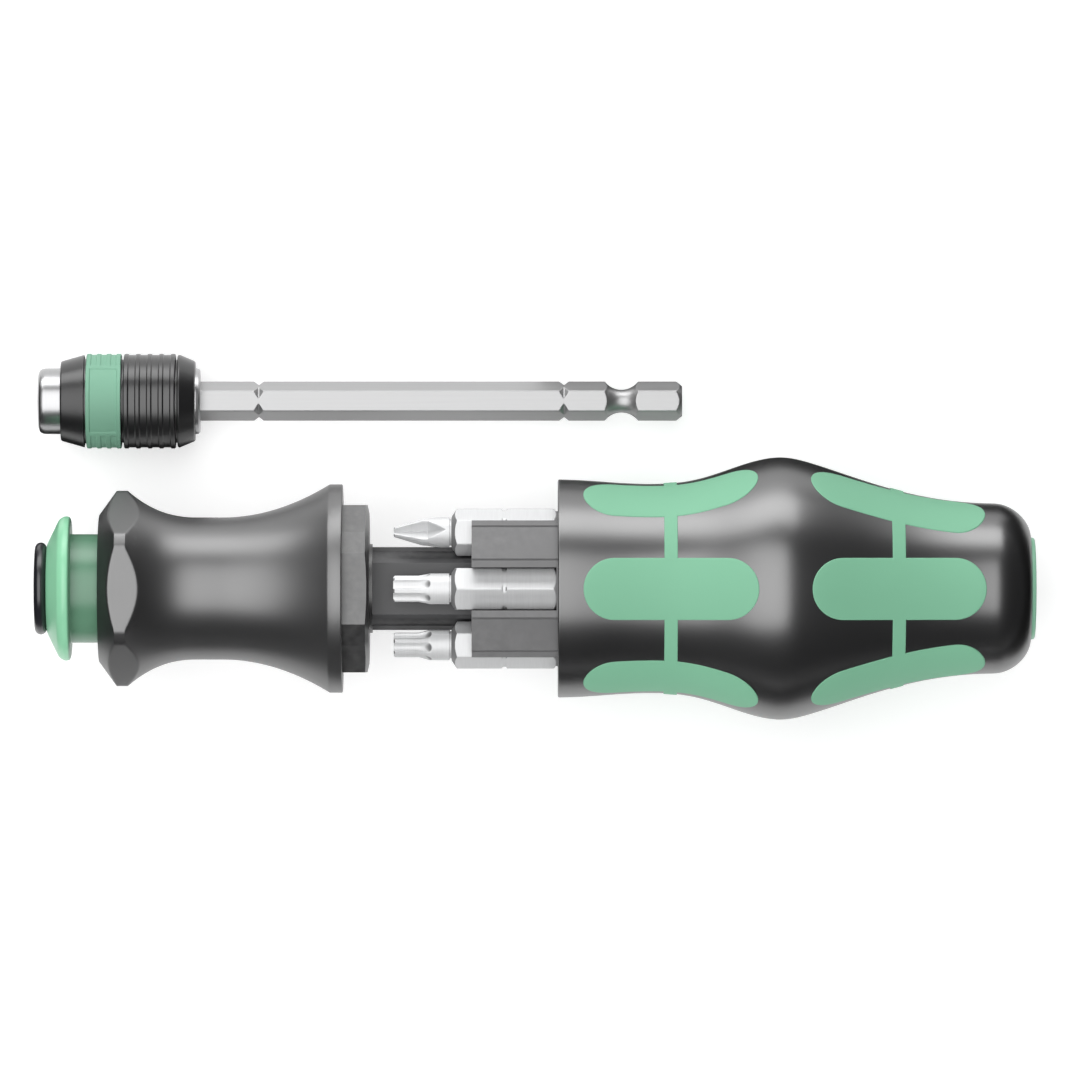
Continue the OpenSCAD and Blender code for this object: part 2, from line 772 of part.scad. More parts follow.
// Flared green collar; the cone inside it presses the lock balls inwards
module release_collar() {
    rim = collar_head_len;
    color(deep_green)
        difference() {
            turned([
                [collar_front, 0], [collar_front, collar_rim_r * 0.61],
                [collar_front + 0.46 * rim, collar_rim_r * 0.93],
                [collar_front + 0.54 * rim, collar_rim_r * 0.97],
                [collar_front + 0.7 * rim, collar_rim_r], [collar_front + 0.88 * rim, collar_rim_r],
                [collar_rim_back, collar_rim_r - 0.4], [collar_rim_back, collar_tube_r],
                [collar_back, collar_tube_r], [collar_back, 0]
            ]);
            rod(collar_bore_r, collar_front - 1, collar_back + 1);
            turned([
                [collar_ramp_front, 0],
                [collar_ramp_front, collar_seat_r + collar_ramp * (ball_x - collar_ramp_front)],
                [collar_ramp_back, collar_bore_r], [collar_ramp_back, 0]
            ]);
        }
}

module collar_spring() {
    color(steel)
        coil(collar_coil_r, collar_wire, collar_back + slide_gap, grip_recess_back - slide_gap, collar_turns);
}

module lock_ball(side) {
    color(steel)
        translate([ball_x, side * ball_y, 0])
            sphere(r = lock_ball_r);
}

module lock_ball_upper() {
    lock_ball(1);
}

module lock_ball_lower() {
    lock_ball(-1);
}

// Hexagonal rear of a bit, with chamfered ends and a notch on each corner
module bit_hex_end() {
    corner = bit_ac / 2;
    difference() {
        intersection() {
            hex_rod(bit_af, bit_hex_at, bit_len);
            turned([
                [bit_hex_at, 0], [bit_hex_at, bit_neck_r + 0.05], [bit_hex_at + 0.95, corner + 0.01],
                [bit_len - 0.45, corner + 0.01], [bit_len, corner - 0.55], [bit_len, 0]
            ]);
        }
        turned([
            [bit_len - bit_notch_at - 0.7, corner + 0.5], [bit_len - bit_notch_at - 0.25, corner - 0.3],
            [bit_len - bit_notch_at + 0.25, corner - 0.3], [bit_len - bit_notch_at + 0.7, corner + 0.5]
        ]);
    }
}

// The neck and its ring, shared by every bit
module bit_neck(from) {
    rod(bit_neck_r, from, bit_hex_at - 0.35);
    rod(bit_neck_r - 0.3, bit_hex_at - 0.35 - tiny, bit_hex_at + tiny);
}

module bit_blank(i) {
    at_pocket(i)
        rotate([bit_spin[i], 0, 0])
            translate([bit_tip, 0, 0]) {
                bit_hex_end();
                children();
            }
}

// Six-lobed tip
module torx_point(tip_r) {
    difference() {
        union() {
            turned([[0, 0], [0, tip_r - 0.2], [0.2, tip_r], [5.6, tip_r], [5.9, bit_neck_r], [5.9, 0]]);
            bit_neck(5.8);
        }
        for (a = [40 : 60 : 340])
            rotate([a, 0, 0])
                translate([-1, 0, 1.19 * tip_r])
                    rod(0.42 * tip_r, 0, 5.2);
    }
}

// Cross tip: a cone with four grooves
module cross_point(tip_r, cone_len) {
    difference() {
        union() {
            turned([
                [0, 0], [0, tip_r], [cone_len, bit_neck_r], [cone_len + 1, bit_neck_r], [cone_len + 1, 0]
            ]);
            bit_neck(cone_len + 0.9);
        }
        for (a = [20 : 90 : 290])
            rotate([a, 0, 0])
                translate([-0.5, 0, 0.3])
                    rotate([45, 0, 0])
                        rotate([0, -2, 2])
                            cube([7.5, 4, 4]);
    }
}

module bit_torx_large() {
    color(steel)
        bit_blank(0)
            torx_point(2.05);
}

module bit_phillips_large() {
    color(steel)
        bit_blank(1)
            cross_point(0.92, 4.5);
}

// Flat tip: a neck cut by two sloping planes, which stand on edge to the viewer
module bit_slotted() {
    color(steel)
        bit_blank(2)
            difference() {
                union() {
                    rod(bit_neck_r, 0, 1);
                    bit_neck(0.9);
                }
                for (side = [-1, 1])
                    rotate([90, 0, 0])
                        rotate([0, 0, side * 9])
                            translate([-1, side > 0 ? 0.55 : -4.55, -4])
                                cube([7, 4, 8]);
            }
}

module bit_hex() {
    color(steel)
        bit_blank(3) {
            intersection() {
                hex_rod(4, 0, 6.5);
                turned([[0, 0], [0, 2], [0.3, 2.32], [6.5, 2.32], [6.5, 0]]);
            }
            bit_neck(6.4);
        }
}

module bit_phillips_small() {
    color(steel)
        bit_blank(4)
            cross_point(0.62, 5.4);
}

module bit_torx_small() {
    color(steel)
        bit_blank(5)
            torx_point(1.85);
}

// Hexagonal blade shank with the drive groove and, at two places, a notch across each corner
module blade_shank() {
    corner = shank_ac / 2;
    slope = 0.7 / notch_depth;
    color(steel)
        at_blade()
            difference() {
                intersection() {
                    hex_rod(shank_af, shank_front, shank_end, 30);
                    turned([
                        [shank_front, 0], [shank_front, corner + 0.01], [shank_end - 0.95, corner + 0.01],
                        [shank_end, corner - 0.75], [shank_end, 0]
                    ]);
                }
                for (x = [chuck_len + notch_near_at, chuck_len + notch_far_at], a = [30 : 60 : 330])
                    rotate([a, 0, 0])
                        translate([x, 1.3, corner])
                            rotate([90, 0, 0])
                                linear_extrude(2.6)
                                    polygon([
                                        [-0.08, -notch_depth], [0.08, -notch_depth],
                                        [0.78 + 0.3 * slope, 0.3], [-0.78 - 0.3 * slope, 0.3]
                                    ]);
                translate([shank_end - drive_at, 0, 0])
                    rotate([0, 90, 0])
                        rotate_extrude()
                            translate([drive_waist_r + drive_arc_r, 0])
                                circle(r = drive_arc_r);
            }
}

// Steel barrel: bit socket, ball holes, magnet bore and the seat of the shank
module chuck_barrel() {
    color(steel)
        at_blade()
            difference() {
                turned([
                    [0, 0], [0, barrel_r - 0.9], [0.26, barrel_r - 0.26], [0.9, barrel_r],
                    [washer_front, barrel_r], [washer_front, 0]
                ]);
                hex_rod(bit_socket_af, -1, bit_socket_depth + magnet_travel, 90);
                turned([[-0.1, 0], [-0.1, bit_socket_af / 2 + 0.7], [0.6, bit_socket_af / 2], [0.6, 0]]);
                rod(magnet_bore_r, bit_socket_depth, shank_front);
                hex_rod(shank_af, shank_front - tiny, chuck_len, 30);
                for (side = [-1, 1])
                    translate([chuck_ball_x, 0, 0])
                        rotate([side * 90, 0, 0])
                            cylinder(r = chuck_ball_r + slide_gap / 2, h = barrel_r + 1);
                rotate([0, 90, 0])
                    translate([0, 0, clip_front])
                        difference() {
                            cylinder(r = barrel_r + 1, h = clip_t);
                            translate([0, 0, -1])
                                cylinder(r = barrel_r - 0.35, h = clip_t + 2);
                        }
            }
}

// Sliding sleeve: its inner cone presses the chuck balls inwards
module chuck_sleeve() {
    color(black)
        at_blade()
            difference() {
                turned([
                    [barrel_nose, 0], [barrel_nose, sleeve_front_r - edge_cut],
                    [barrel_nose + edge_cut, sleeve_front_r], [band_front - edge_cut, sleeve_r - rib_h],
                    [band_front - groove_w, sleeve_groove_r], [band_front, sleeve_groove_r],
                    [band_front, band_seat_r], [band_back, band_seat_r], [band_back, sleeve_groove_r],
                    [sleeve_back, sleeve_groove_r], [sleeve_back, 0]
                ]);
                rod(sleeve_bore_r, barrel_nose - 1, sleeve_back + 1);
                turned([
                    [sleeve_ramp_front, 0], [sleeve_ramp_front, sleeve_bore_r],
                    [sleeve_ramp_back, sleeve_seat_r + sleeve_ramp * (sleeve_ramp_back - chuck_ball_x)],
                    [sleeve_ramp_back, 0]
                ]);
                rod(sleeve_chamber_r, sleeve_ramp_back - tiny, sleeve_back - sleeve_lip_t);
            }
}

// Outline of round ribs spread evenly between two places
function ribs(from, to, count, width, top, depth) =
    let (pitch = (to - from - width) / (count - 1))
        [for (k = [0 : count - 1]) let (s = from + k * pitch) each [
            [s, top - depth], [s + 0.1, top], [s + width - 0.1, top], [s + width, top - depth]
        ]];

// Soft band on the sleeve: ribbed, with a plain framed pad on its upper side
module chuck_band() {
    color(green)
        at_blade()
            difference() {
                union() {
                    turned(concat(
                        [[band_front, 0]],
                        ribs(band_front, band_back, 4, rib_w, sleeve_r, band_rib_h),
                        [[band_back, 0]]
                    ));
                    intersection() {
                        rod(sleeve_r, band_front, band_back);
                        translate([band_front - 1, -pad_half_w, 0])
                            cube([band_w + 2, 2 * pad_half_w, sleeve_r + 1]);
                    }
                }
                rod(band_seat_r, band_front - 1, band_back + 1);
                intersection() {
                    difference() {
                        rod(sleeve_r + 1, band_front + pad_frame, band_back - pad_frame);
                        rod(sleeve_r - band_rib_h, band_front, band_back);
                    }
                    translate([band_front, pad_frame - pad_half_w, 0])
                        cube([band_w, 2 * (pad_half_w - pad_frame), sleeve_r + 1]);
                }
            }
}

module sleeve_clip() {
    color(steel)
        at_blade()
            difference() {
                rod(clip_r, clip_front, clip_front + clip_t);
                rod(barrel_r - 0.35, clip_front - 1, clip_front + clip_t + 1);
                translate([clip_front - 1, -1, 0])
                    cube([clip_t + 2, 2, clip_r + 1]);
            }
}

module sleeve_spring() {
    color(steel)
        at_blade()
            coil(sleeve_coil_r, sleeve_wire, clip_front + clip_t + hair, sleeve_back - sleeve_lip_t - hair,
                sleeve_turns);
}

module chuck_ball(side) {
    color(steel)
        at_blade()
            translate([chuck_ball_x, side * chuck_ball_y, 0])
                sphere(r = chuck_ball_r);
}

module chuck_ball_upper() {
    chuck_ball(1);
}

module chuck_ball_lower() {
    chuck_ball(-1);
}

// Free-turning ring with round ribs
module ribbed_ring() {
    color(black)
        at_blade()
            difference() {
                turned(concat(
                    [[ring_front, 0]],
                    ribs(ring_front, ring_back, ring_ribs, rib_w, sleeve_r, rib_h),
                    [[ring_back, 0]]
                ));
                rod(barrel_r + slide_gap, ring_front - 1, ring_back + 1);
            }
}

module rear_cap() {
    color(black)
        at_blade()
            difference() {
                turned([
                    [cap_front, 0], [cap_front, sleeve_r - 0.3], [cap_front + 0.25, sleeve_r - 0.12],
                    [cap_back - 0.2, sleeve_r - 1.1], [cap_back, sleeve_r - 1.3], [cap_back, 0]
                ]);
                rod(barrel_r, cap_front - 1, cap_back + 1);
            }
}

module chuck_washer() {
    color(steel)
        at_blade()
            difference() {
                turned([
                    [washer_front, 0], [washer_front, barrel_r], [chuck_len - 0.2, barrel_r - 0.1],
                    [chuck_len, barrel_r - 0.3], [chuck_len, 0]
                ]);
                hex_rod(shank_af, washer_front - 1, chuck_len + 1, 30);
            }
}

// Cup that carries the magnet at the bottom of the bit socket
module magnet_cup() {
    color(steel)
        at_blade()
            difference() {
                rod(magnet_bore_r - slide_gap, bit_socket_depth, bit_socket_depth + cup_len);
                rod(magnet_r, bit_socket_depth - 1, bit_socket_depth + cup_len - cup_wall);
            }
}

module magnet() {
    color(charcoal)
        at_blade()
            rod(magnet_r, bit_socket_depth, bit_socket_depth + cup_len - cup_wall);
}

module magnet_spring() {
    color(steel)
        at_blade()
            coil(magnet_coil_r, magnet_wire, bit_socket_depth + cup_len + hair, shank_front - hair,
                magnet_turns);
}

handle_shell();
soft_band_front();
soft_band_rear();
guide_plate();
latch_frame();
latch_plate();
latch_spring();
release_button();
ejector_spring();
front_grip();
key_flange();
stem_washer();
stem();
bit_holder();
latch_rod();
stop_head();
socket_tube();
nose_ring();
release_collar();
collar_spring();
lock_ball_upper();
lock_ball_lower();
bit_torx_large();
bit_phillips_large();
bit_slotted();
bit_hex();
bit_phillips_small();
bit_torx_small();
blade_shank();
chuck_barrel();
chuck_sleeve();
chuck_band();
sleeve_clip();
sleeve_spring();
chuck_ball_upper();
chuck_ball_lower();
ribbed_ring();
rear_cap();
chuck_washer();
magnet_cup();
magnet();
magnet_spring();
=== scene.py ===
import math
import bpy
import numpy as np
from mathutils import Euler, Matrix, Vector


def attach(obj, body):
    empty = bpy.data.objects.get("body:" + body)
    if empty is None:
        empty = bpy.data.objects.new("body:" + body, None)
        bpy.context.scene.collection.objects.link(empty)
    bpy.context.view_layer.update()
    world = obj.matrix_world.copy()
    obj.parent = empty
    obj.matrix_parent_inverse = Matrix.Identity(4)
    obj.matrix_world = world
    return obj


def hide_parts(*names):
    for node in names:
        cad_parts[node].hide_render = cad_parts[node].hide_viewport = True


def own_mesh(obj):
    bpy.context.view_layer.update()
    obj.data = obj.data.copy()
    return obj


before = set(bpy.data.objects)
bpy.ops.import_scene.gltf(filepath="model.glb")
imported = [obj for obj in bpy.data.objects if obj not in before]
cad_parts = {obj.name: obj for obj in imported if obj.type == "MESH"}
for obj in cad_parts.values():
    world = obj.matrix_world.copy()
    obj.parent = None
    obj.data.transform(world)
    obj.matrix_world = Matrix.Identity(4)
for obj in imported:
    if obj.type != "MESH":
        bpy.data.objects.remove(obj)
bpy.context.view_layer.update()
print("packed frame loaded:", len(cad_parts), "nodes")

mm = 0.001      # every size below is in millimetres; meshes are in metres
scene = bpy.context.scene

# Places along the tool axis, from the nose backwards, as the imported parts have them
place = {
    "gripFront": 9.9, "gripBack": 47.4, "shellFront": 80.5, "shellTail": 148.0, "shellEnd": 153.3,
    "bayBack": 128.5, "chamberBack": 148.2, "buttonStep": 151.5, "bitTip": 55.3,
    "bladeY": 29.0, "bladeZ": -12.85,
}
bladeAxis = (place["bladeY"], place["bladeZ"])


# ---- shaping tools: every surface is a grid of rings, worked out as whole arrays ----

def softLeast(a, b, blend):
    # Lesser of two heights with a rounded meeting line: half of (a + b - root((a - b)^2 + blend^2))
    return 0.5 * (a + b - np.sqrt((a - b) ** 2 + blend ** 2))


def ease(t, lead, drag):
    # Level at both ends: half of (1 - cos(pi * t^lead)), raised to drag
    return (0.5 * (1 - np.cos(np.pi * np.power(np.clip(t, 0, 1), lead)))) ** drag


def blendTo(a, b, t):
    return a + (b - a) * t


def turnAngles(count):
    return np.arange(count) * 2 * np.pi / count


def flatLimit(angles, flat, first):
    # Distance to six flats: flat / cos(angle to the nearest flat's middle)
    step = np.pi / 3
    away = (angles - first + step / 2) % step - step / 2
    return flat / np.cos(away)


def easedOutline(corners, bends, steps=6, loop=True):
    # Each corner becomes a small parabola that leaves and meets its sides `bend` away from the corner
    pts = np.array(corners, float)
    reach = np.broadcast_to(np.array(bends, float), len(pts)).copy()
    back = np.roll(pts, 1, 0) - pts
    ahead = np.roll(pts, -1, 0) - pts
    backLen = np.maximum(np.linalg.norm(back, axis=1), 1e-9)
    aheadLen = np.maximum(np.linalg.norm(ahead, axis=1), 1e-9)
    reach = np.minimum(reach, 0.45 * np.minimum(backLen, aheadLen))
    if not loop:
        reach[[0, -1]] = 0
    start = pts + back * (reach / backLen)[:, None]
    end = pts + ahead * (reach / aheadLen)[:, None]
    t = np.linspace(0, 1, steps)[None, :, None]
    curve = (1 - t) ** 2 * start[:, None] + 2 * t * (1 - t) * pts[:, None] + t ** 2 * end[:, None]
    # one more point on each side keeps the straight stretches flat in the shading
    before = pts + back * np.minimum(1.3 * reach / backLen, 0.49)[:, None]
    after = pts + ahead * np.minimum(1.3 * reach / aheadLen, 0.49)[:, None]
    line = np.concatenate([before[:, None], curve, after[:, None]], 1).reshape(-1, 2)
    gap = np.linalg.norm(line - np.roll(line, 1, 0), axis=1)
    return line[gap > 1e-4]


def signedVolume(points, triangles):
    # Six times the volume inside the faces; below zero where they look inwards
    corner = points[triangles]
    return np.einsum("ij,ij->i", corner[:, 0], np.cross(corner[:, 1], corner[:, 2])).sum()


def ringShell(rings, closed):
    # Joins rings of points (count, around, 3) with quads; open ends are closed by a pole in their middle
    count, around = rings.shape[:2]
    index = np.arange(count * around).reshape(count, around)
    low = index if closed else index[:-1]
    high = np.roll(index, -1, 0) if closed else index[1:]
    quads = np.stack([low, np.roll(low, -1, 1), np.roll(high, -1, 1), high], -1).reshape(-1, 4)
    points = rings.reshape(-1, 3)
    fans = np.zeros((0, 3), int)
    if not closed:
        poles = np.stack([rings[0].mean(0), rings[-1].mean(0)])
        first, last = index[0], index[-1]
        n = len(points)
        fans = np.concatenate([
            np.stack([np.roll(first, -1), first, np.full(around, n)], -1),
            np.stack([last, np.roll(last, -1), np.full(around, n + 1)], -1)])
        points = np.concatenate([points, poles])
    halves = signedVolume(points, quads[:, [0, 1, 2]]) + signedVolume(points, quads[:, [0, 2, 3]])
    if halves + signedVolume(points, fans) < 0:      # turn the faces outwards
        quads, fans = quads[:, ::-1], fans[:, ::-1]
    return points, quads.tolist() + fans.tolist()


def turnedShell(xs, radii, around=192, centre=(0, 0), closed=True):
    # Ring i stands at xs[i]; its point j is radii[i, j] from the axis at turn angle j, counted from +Z to +Y
    angles = turnAngles(around)
    xs = np.array(xs, float)
    radii = np.array(radii, float)
    if radii.ndim == 1:
        radii = np.repeat(radii[:, None], around, 1)
    if xs.ndim == 1:
        xs = np.repeat(xs[:, None], around, 1)
    rings = np.stack([xs, centre[0] + radii * np.sin(angles), centre[1] + radii * np.cos(angles)], -1)
    return ringShell(rings, closed)


def coilShell(radius, wire, start, end, turns, centre=(0, 0), perTurn=40, sides=14):
    # Round wire carried along a helix: x rises evenly while the angle turns
    k = np.linspace(0, 1, perTurn * turns + 1)
    angle = 2 * np.pi * turns * k
    run = end - start - wire
    spine = np.stack([start + wire / 2 + run * k, radius * np.sin(angle), radius * np.cos(angle)], -1)
    out = np.stack([np.zeros_like(k), np.sin(angle), np.cos(angle)], -1)
    side = np.repeat([[1.0, 0, 0]], len(k), 0)
    u = turnAngles(sides)[None, :, None]
    rings = spine[:, None] + wire / 2 * (out[:, None] * np.cos(u) + side[:, None] * np.sin(u))
    rings[..., 1] += centre[0]
    rings[..., 2] += centre[1]
    return ringShell(rings, False)


def prismShell(outline, low, high):
    # A flat outline in X and Y carried along Z
    outline = np.array(outline, float)
    rings = np.stack([np.column_stack([outline, np.full(len(outline), z)]) for z in (low, high)])
    return ringShell(rings, False)


def turnedAbout(points, degrees):
    # Turns points about the tool axis, from +Z towards +Y
    a = math.radians(degrees)
    y = points[..., 1] * math.cos(a) + points[..., 2] * math.sin(a)
    z = points[..., 2] * math.cos(a) - points[..., 1] * math.sin(a)
    return np.stack([points[..., 0], y, z], -1)


def newPiece(name, shells, material, body, nodes, crease=32):
    points, faces, start = [], [], 0
    for shellPoints, shellFaces in shells:
        points.append(shellPoints)
        faces += [[i + start for i in face] for face in shellFaces] if start else shellFaces
        start += len(shellPoints)
    mesh = bpy.data.meshes.new(name)
    mesh.from_pydata((np.concatenate(points) * mm).tolist(), [], faces)
    mesh.validate()
    mesh.shade_smooth()
    mesh.set_sharp_from_angle(angle=math.radians(crease))
    mesh.materials.append(material)
    piece = bpy.data.objects.new(name, mesh)
    scene.collection.objects.link(piece)
    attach(piece, body)
    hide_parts(*nodes)


# ---- shared surface effects, as node groups ----

def newGroup(name, inputs, outputs):
    group = bpy.data.node_groups.new(name, "ShaderNodeTree")
    for label, kind, value in inputs:
        socket = group.interface.new_socket(name=label, in_out="INPUT", socket_type=kind)
        socket.default_value = value
    for label, kind in outputs:
        group.interface.new_socket(name=label, in_out="OUTPUT", socket_type=kind)
    return group, group.nodes.new("NodeGroupInput"), group.nodes.new("NodeGroupOutput")


def link(tree, source, target):
    tree.links.new(source, target)


def node(tree, kind, **settings):
    made = tree.nodes.new(kind)
    for key, value in settings.items():
        setattr(made, key, value)
    return made


def feed(tree, value, socket):
    # A number or a colour is set on the socket; another node's output is linked to it
    if isinstance(value, (int, float, tuple)):
        socket.default_value = value
    else:
        link(tree, value, socket)


def maths(tree, operation, a, b):
    made = node(tree, "ShaderNodeMath", operation=operation)
    for socket, value in zip(made.inputs, (a, b)):
        feed(tree, value, socket)
    return made.outputs[0]


def objectNoise(tree, scaleFrom, stretch=(1, 1, 1), detail=3, multiply=1.0):
    # Noise on Object coordinates, stretched by a Mapping node; the scale comes in from a group socket
    coords = node(tree, "ShaderNodeTexCoord")
    mapping = node(tree, "ShaderNodeMapping")
    mapping.inputs["Scale"].default_value = stretch
    link(tree, coords.outputs["Object"], mapping.inputs["Vector"])
    noise = node(tree, "ShaderNodeTexNoise")
    noise.inputs["Detail"].default_value = detail
    link(tree, mapping.outputs[0], noise.inputs["Vector"])
    link(tree, maths(tree, "MULTIPLY", scaleFrom, multiply), noise.inputs["Scale"])
    return noise.outputs["Fac"]


def mixedColour(tree, factor, a, b):
    made = node(tree, "ShaderNodeMix", data_type="RGBA")
    for index, value in ((0, factor), (6, a), (7, b)):      # the colour kind's own sockets
        feed(tree, value, made.inputs[index])
    return made.outputs[2]


def mappedRange(tree, value, fromLow, fromHigh, toLow=0.0, toHigh=1.0):
    made = node(tree, "ShaderNodeMapRange")
    for label, limit in (("From Min", fromLow), ("From Max", fromHigh), ("To Min", toLow), ("To Max", toHigh)):
        made.inputs[label].default_value = limit
    link(tree, value, made.inputs["Value"])
    return made.outputs[0]


def scaledColour(tree, colour, share):
    made = node(tree, "ShaderNodeVectorMath", operation="SCALE")
    link(tree, colour, made.inputs[0])
    link(tree, share, made.inputs["Scale"])
    return made.outputs[0]


def bumpNormal(tree, strength, height, distance):
    made = node(tree, "ShaderNodeBump")
    made.inputs["Distance"].default_value = distance
    link(tree, strength, made.inputs["Strength"])
    link(tree, height, made.inputs["Height"])
    return made.outputs[0]


def mouldedGrainGroup():
    # Fine spark-eroded grain of moulded plastic: small bumps, and slow drifts of shade and gloss
    group, inner, outer = newGroup("MouldedGrain", [
        ("Colour", "NodeSocketColor", (0.5, 0.5, 0.5, 1)), ("Grain Scale", "NodeSocketFloat", 3200.0),
        ("Grain Depth", "NodeSocketFloat", 0.15), ("Drift", "NodeSocketFloat", 0.08),
        ("Roughness", "NodeSocketFloat", 0.4)],
        [("Colour", "NodeSocketColor"), ("Roughness", "NodeSocketFloat"), ("Normal", "NodeSocketVector")])
    fine = objectNoise(group, inner.outputs["Grain Scale"])
    slow = objectNoise(group, inner.outputs["Grain Scale"], multiply=0.03, detail=2)
    spread = maths(group, "MULTIPLY", maths(group, "SUBTRACT", slow, 0.5), inner.outputs["Drift"])
    shade = maths(group, "ADD", spread, 1.0)
    link(group, scaledColour(group, inner.outputs["Colour"], shade), outer.inputs["Colour"])
    link(group, maths(group, "ADD", inner.outputs["Roughness"], spread), outer.inputs["Roughness"])
    link(group, bumpNormal(group, inner.outputs["Grain Depth"], fine, 0.00003), outer.inputs["Normal"])
    return group


def steelGrainGroup():
    # Machining lines: noise drawn out across or along the axis, in shade, gloss and height
    group, inner, outer = newGroup("SteelGrain", [
        ("Colour", "NodeSocketColor", (0.6, 0.6, 0.6, 1)), ("Across", "NodeSocketFloat", 1.0),
        ("Line Scale", "NodeSocketFloat", 900.0), ("Line Depth", "NodeSocketFloat", 0.12),
        ("Roughness", "NodeSocketFloat", 0.3)],
        [("Colour", "NodeSocketColor"), ("Roughness", "NodeSocketFloat"), ("Normal", "NodeSocketVector")])
    across = objectNoise(group, inner.outputs["Line Scale"], stretch=(3.2, 0.18, 0.18), detail=4)
    along = objectNoise(group, inner.outputs["Line Scale"], stretch=(0.05, 2.4, 2.4), detail=4)
    lines = node(group, "ShaderNodeMix", data_type="FLOAT")
    link(group, inner.outputs["Across"], lines.inputs[0])
    link(group, along, lines.inputs[2])
    link(group, across, lines.inputs[3])
    height = lines.outputs[0]
    centred = maths(group, "SUBTRACT", height, 0.5)
    shade = maths(group, "ADD", maths(group, "MULTIPLY", centred, 0.16), 1.0)
    link(group, scaledColour(group, inner.outputs["Colour"], shade), outer.inputs["Colour"])
    spread = maths(group, "MULTIPLY", centred, 0.12)
    link(group, maths(group, "ADD", inner.outputs["Roughness"], spread), outer.inputs["Roughness"])
    link(group, bumpNormal(group, inner.outputs["Line Depth"], height, 0.00002), outer.inputs["Normal"])
    return group


def paintedEdgeHighlightGroup():
    # Painted highlight on sharp edges: the mesh's pointed places, broken up by noise, as a mask from 0 to 1
    group, inner, outer = newGroup("PaintedEdgeHighlight", [
        ("Amount", "NodeSocketFloat", 0.5), ("Patch Scale", "NodeSocketFloat", 700.0)],
        [("Mask", "NodeSocketFloat")])
    ramp = mappedRange(group, node(group, "ShaderNodeNewGeometry").outputs["Pointiness"], 0.53, 0.62)
    broken = mappedRange(group, objectNoise(group, inner.outputs["Patch Scale"], detail=4), 0.35, 0.7)
    mask = maths(group, "MULTIPLY", ramp, broken)
    link(group, maths(group, "MULTIPLY", mask, inner.outputs["Amount"]), outer.inputs["Mask"])
    return group


mouldedGrain = mouldedGrainGroup()
steelGrain = steelGrainGroup()
paintedEdgeHighlight = paintedEdgeHighlightGroup()


def newMaterial(name, group, values, edgeHighlightColour, edgeHighlightAmount, **shader):
    # One Principled shader; the group gives colour, roughness and normal, and sharp edges mix in a lighter colour
    # as a painted highlight
    material = bpy.data.materials.new(name)
    material.use_nodes = True
    tree = material.node_tree
    principled = tree.nodes["Principled BSDF"]
    for key, value in shader.items():
        principled.inputs[key.replace("_", " ")].default_value = value
    effect = node(tree, "ShaderNodeGroup", node_tree=group)
    for key, value in values.items():
        effect.inputs[key].default_value = value
    edgeHighlightNode = node(tree, "ShaderNodeGroup", node_tree=paintedEdgeHighlight)
    edgeHighlightNode.inputs["Amount"].default_value = edgeHighlightAmount
    edgeLightened = mixedColour(tree, edgeHighlightNode.outputs["Mask"], effect.outputs["Colour"], edgeHighlightColour)
    link(tree, edgeLightened, principled.inputs["Base Color"])
    link(tree, effect.outputs["Roughness"], principled.inputs["Roughness"])
    link(tree, effect.outputs["Normal"], principled.inputs["Normal"])
    return material


plastics = {
    # name: colour, grain scale, grain depth, drift, roughness, specular level, IOR, painted edge highlight colour
    "shellBlack": ((0.006, 0.006, 0.0065, 1), 3400, 0.10, 0.06, 0.33, 1.0, 1.75, (0.09, 0.09, 0.095, 1)),
    "gripCharcoal": ((0.009, 0.009, 0.0095, 1), 3400, 0.12, 0.06, 0.40, 1.0, 1.75, (0.11, 0.11, 0.115, 1)),
    "keyBlack": ((0.013, 0.013, 0.0135, 1), 3000, 0.12, 0.05, 0.38, 0.95, 1.6, (0.10, 0.10, 0.10, 1)),
    "innerBlack": ((0.03, 0.031, 0.033, 1), 2600, 0.15, 0.06, 0.5, 0.5, 1.5, (0.1, 0.1, 0.1, 1)),
    "stemGrey": ((0.055, 0.055, 0.057, 1), 2800, 0.12, 0.05, 0.5, 0.5, 1.5, (0.12, 0.12, 0.12, 1)),
    "magazineGrey": ((0.135, 0.135, 0.137, 1), 3800, 0.12, 0.04, 0.5, 0.5, 1.5, (0.22, 0.22, 0.22, 1)),
    "softGreen": ((0.178, 0.42, 0.272, 1), 4200, 0.25, 0.04, 0.62, 0.35, 1.5, (0.21, 0.46, 0.31, 1)),
    "bandGreen": ((0.178, 0.37, 0.262, 1), 4200, 0.25, 0.04, 0.62, 0.35, 1.5, (0.21, 0.42, 0.3, 1)),
    "buttonGreen": ((0.28, 0.58, 0.40, 1), 3600, 0.12, 0.04, 0.42, 0.45, 1.5, (0.25, 0.52, 0.35, 1)),
    "collarGreen": ((0.235, 0.56, 0.345, 1), 3600, 0.10, 0.04, 0.34, 0.6, 1.5, (0.28, 0.6, 0.38, 1)),
    "chuckBlack": ((0.005, 0.005, 0.0055, 1), 3600, 0.10, 0.06, 0.32, 0.85, 1.5, (0.07, 0.07, 0.07, 1)),
    "rubberBlack": ((0.008, 0.008, 0.011, 1), 3000, 0.10, 0.06, 0.3, 0.7, 1.5, (0.05, 0.05, 0.055, 1)),
}
steels = {
    # name: colour, lines across (1) or along (0), line scale, line depth, roughness, metallic
    "bitSteel": ((0.62, 0.625, 0.63, 1), 1.0, 1600, 0.12, 0.52, 0.4),
    "bladeSteel": ((0.35, 0.35, 0.352, 1), 0.0, 900, 0.06, 0.42, 0.9),
    "barrelSteel": ((0.37, 0.37, 0.375, 1), 1.0, 2400, 0.03, 0.30, 1.0),
    "innerSteel": ((0.42, 0.425, 0.43, 1), 1.0, 1400, 0.1, 0.4, 1.0),
    "springSteel": ((0.42, 0.425, 0.43, 1), 1.0, 1400, 0.08, 0.32, 1.0),
    "magnetNickel": ((0.4, 0.4, 0.41, 1), 1.0, 1400, 0.05, 0.3, 1.0),
}
finish = {}
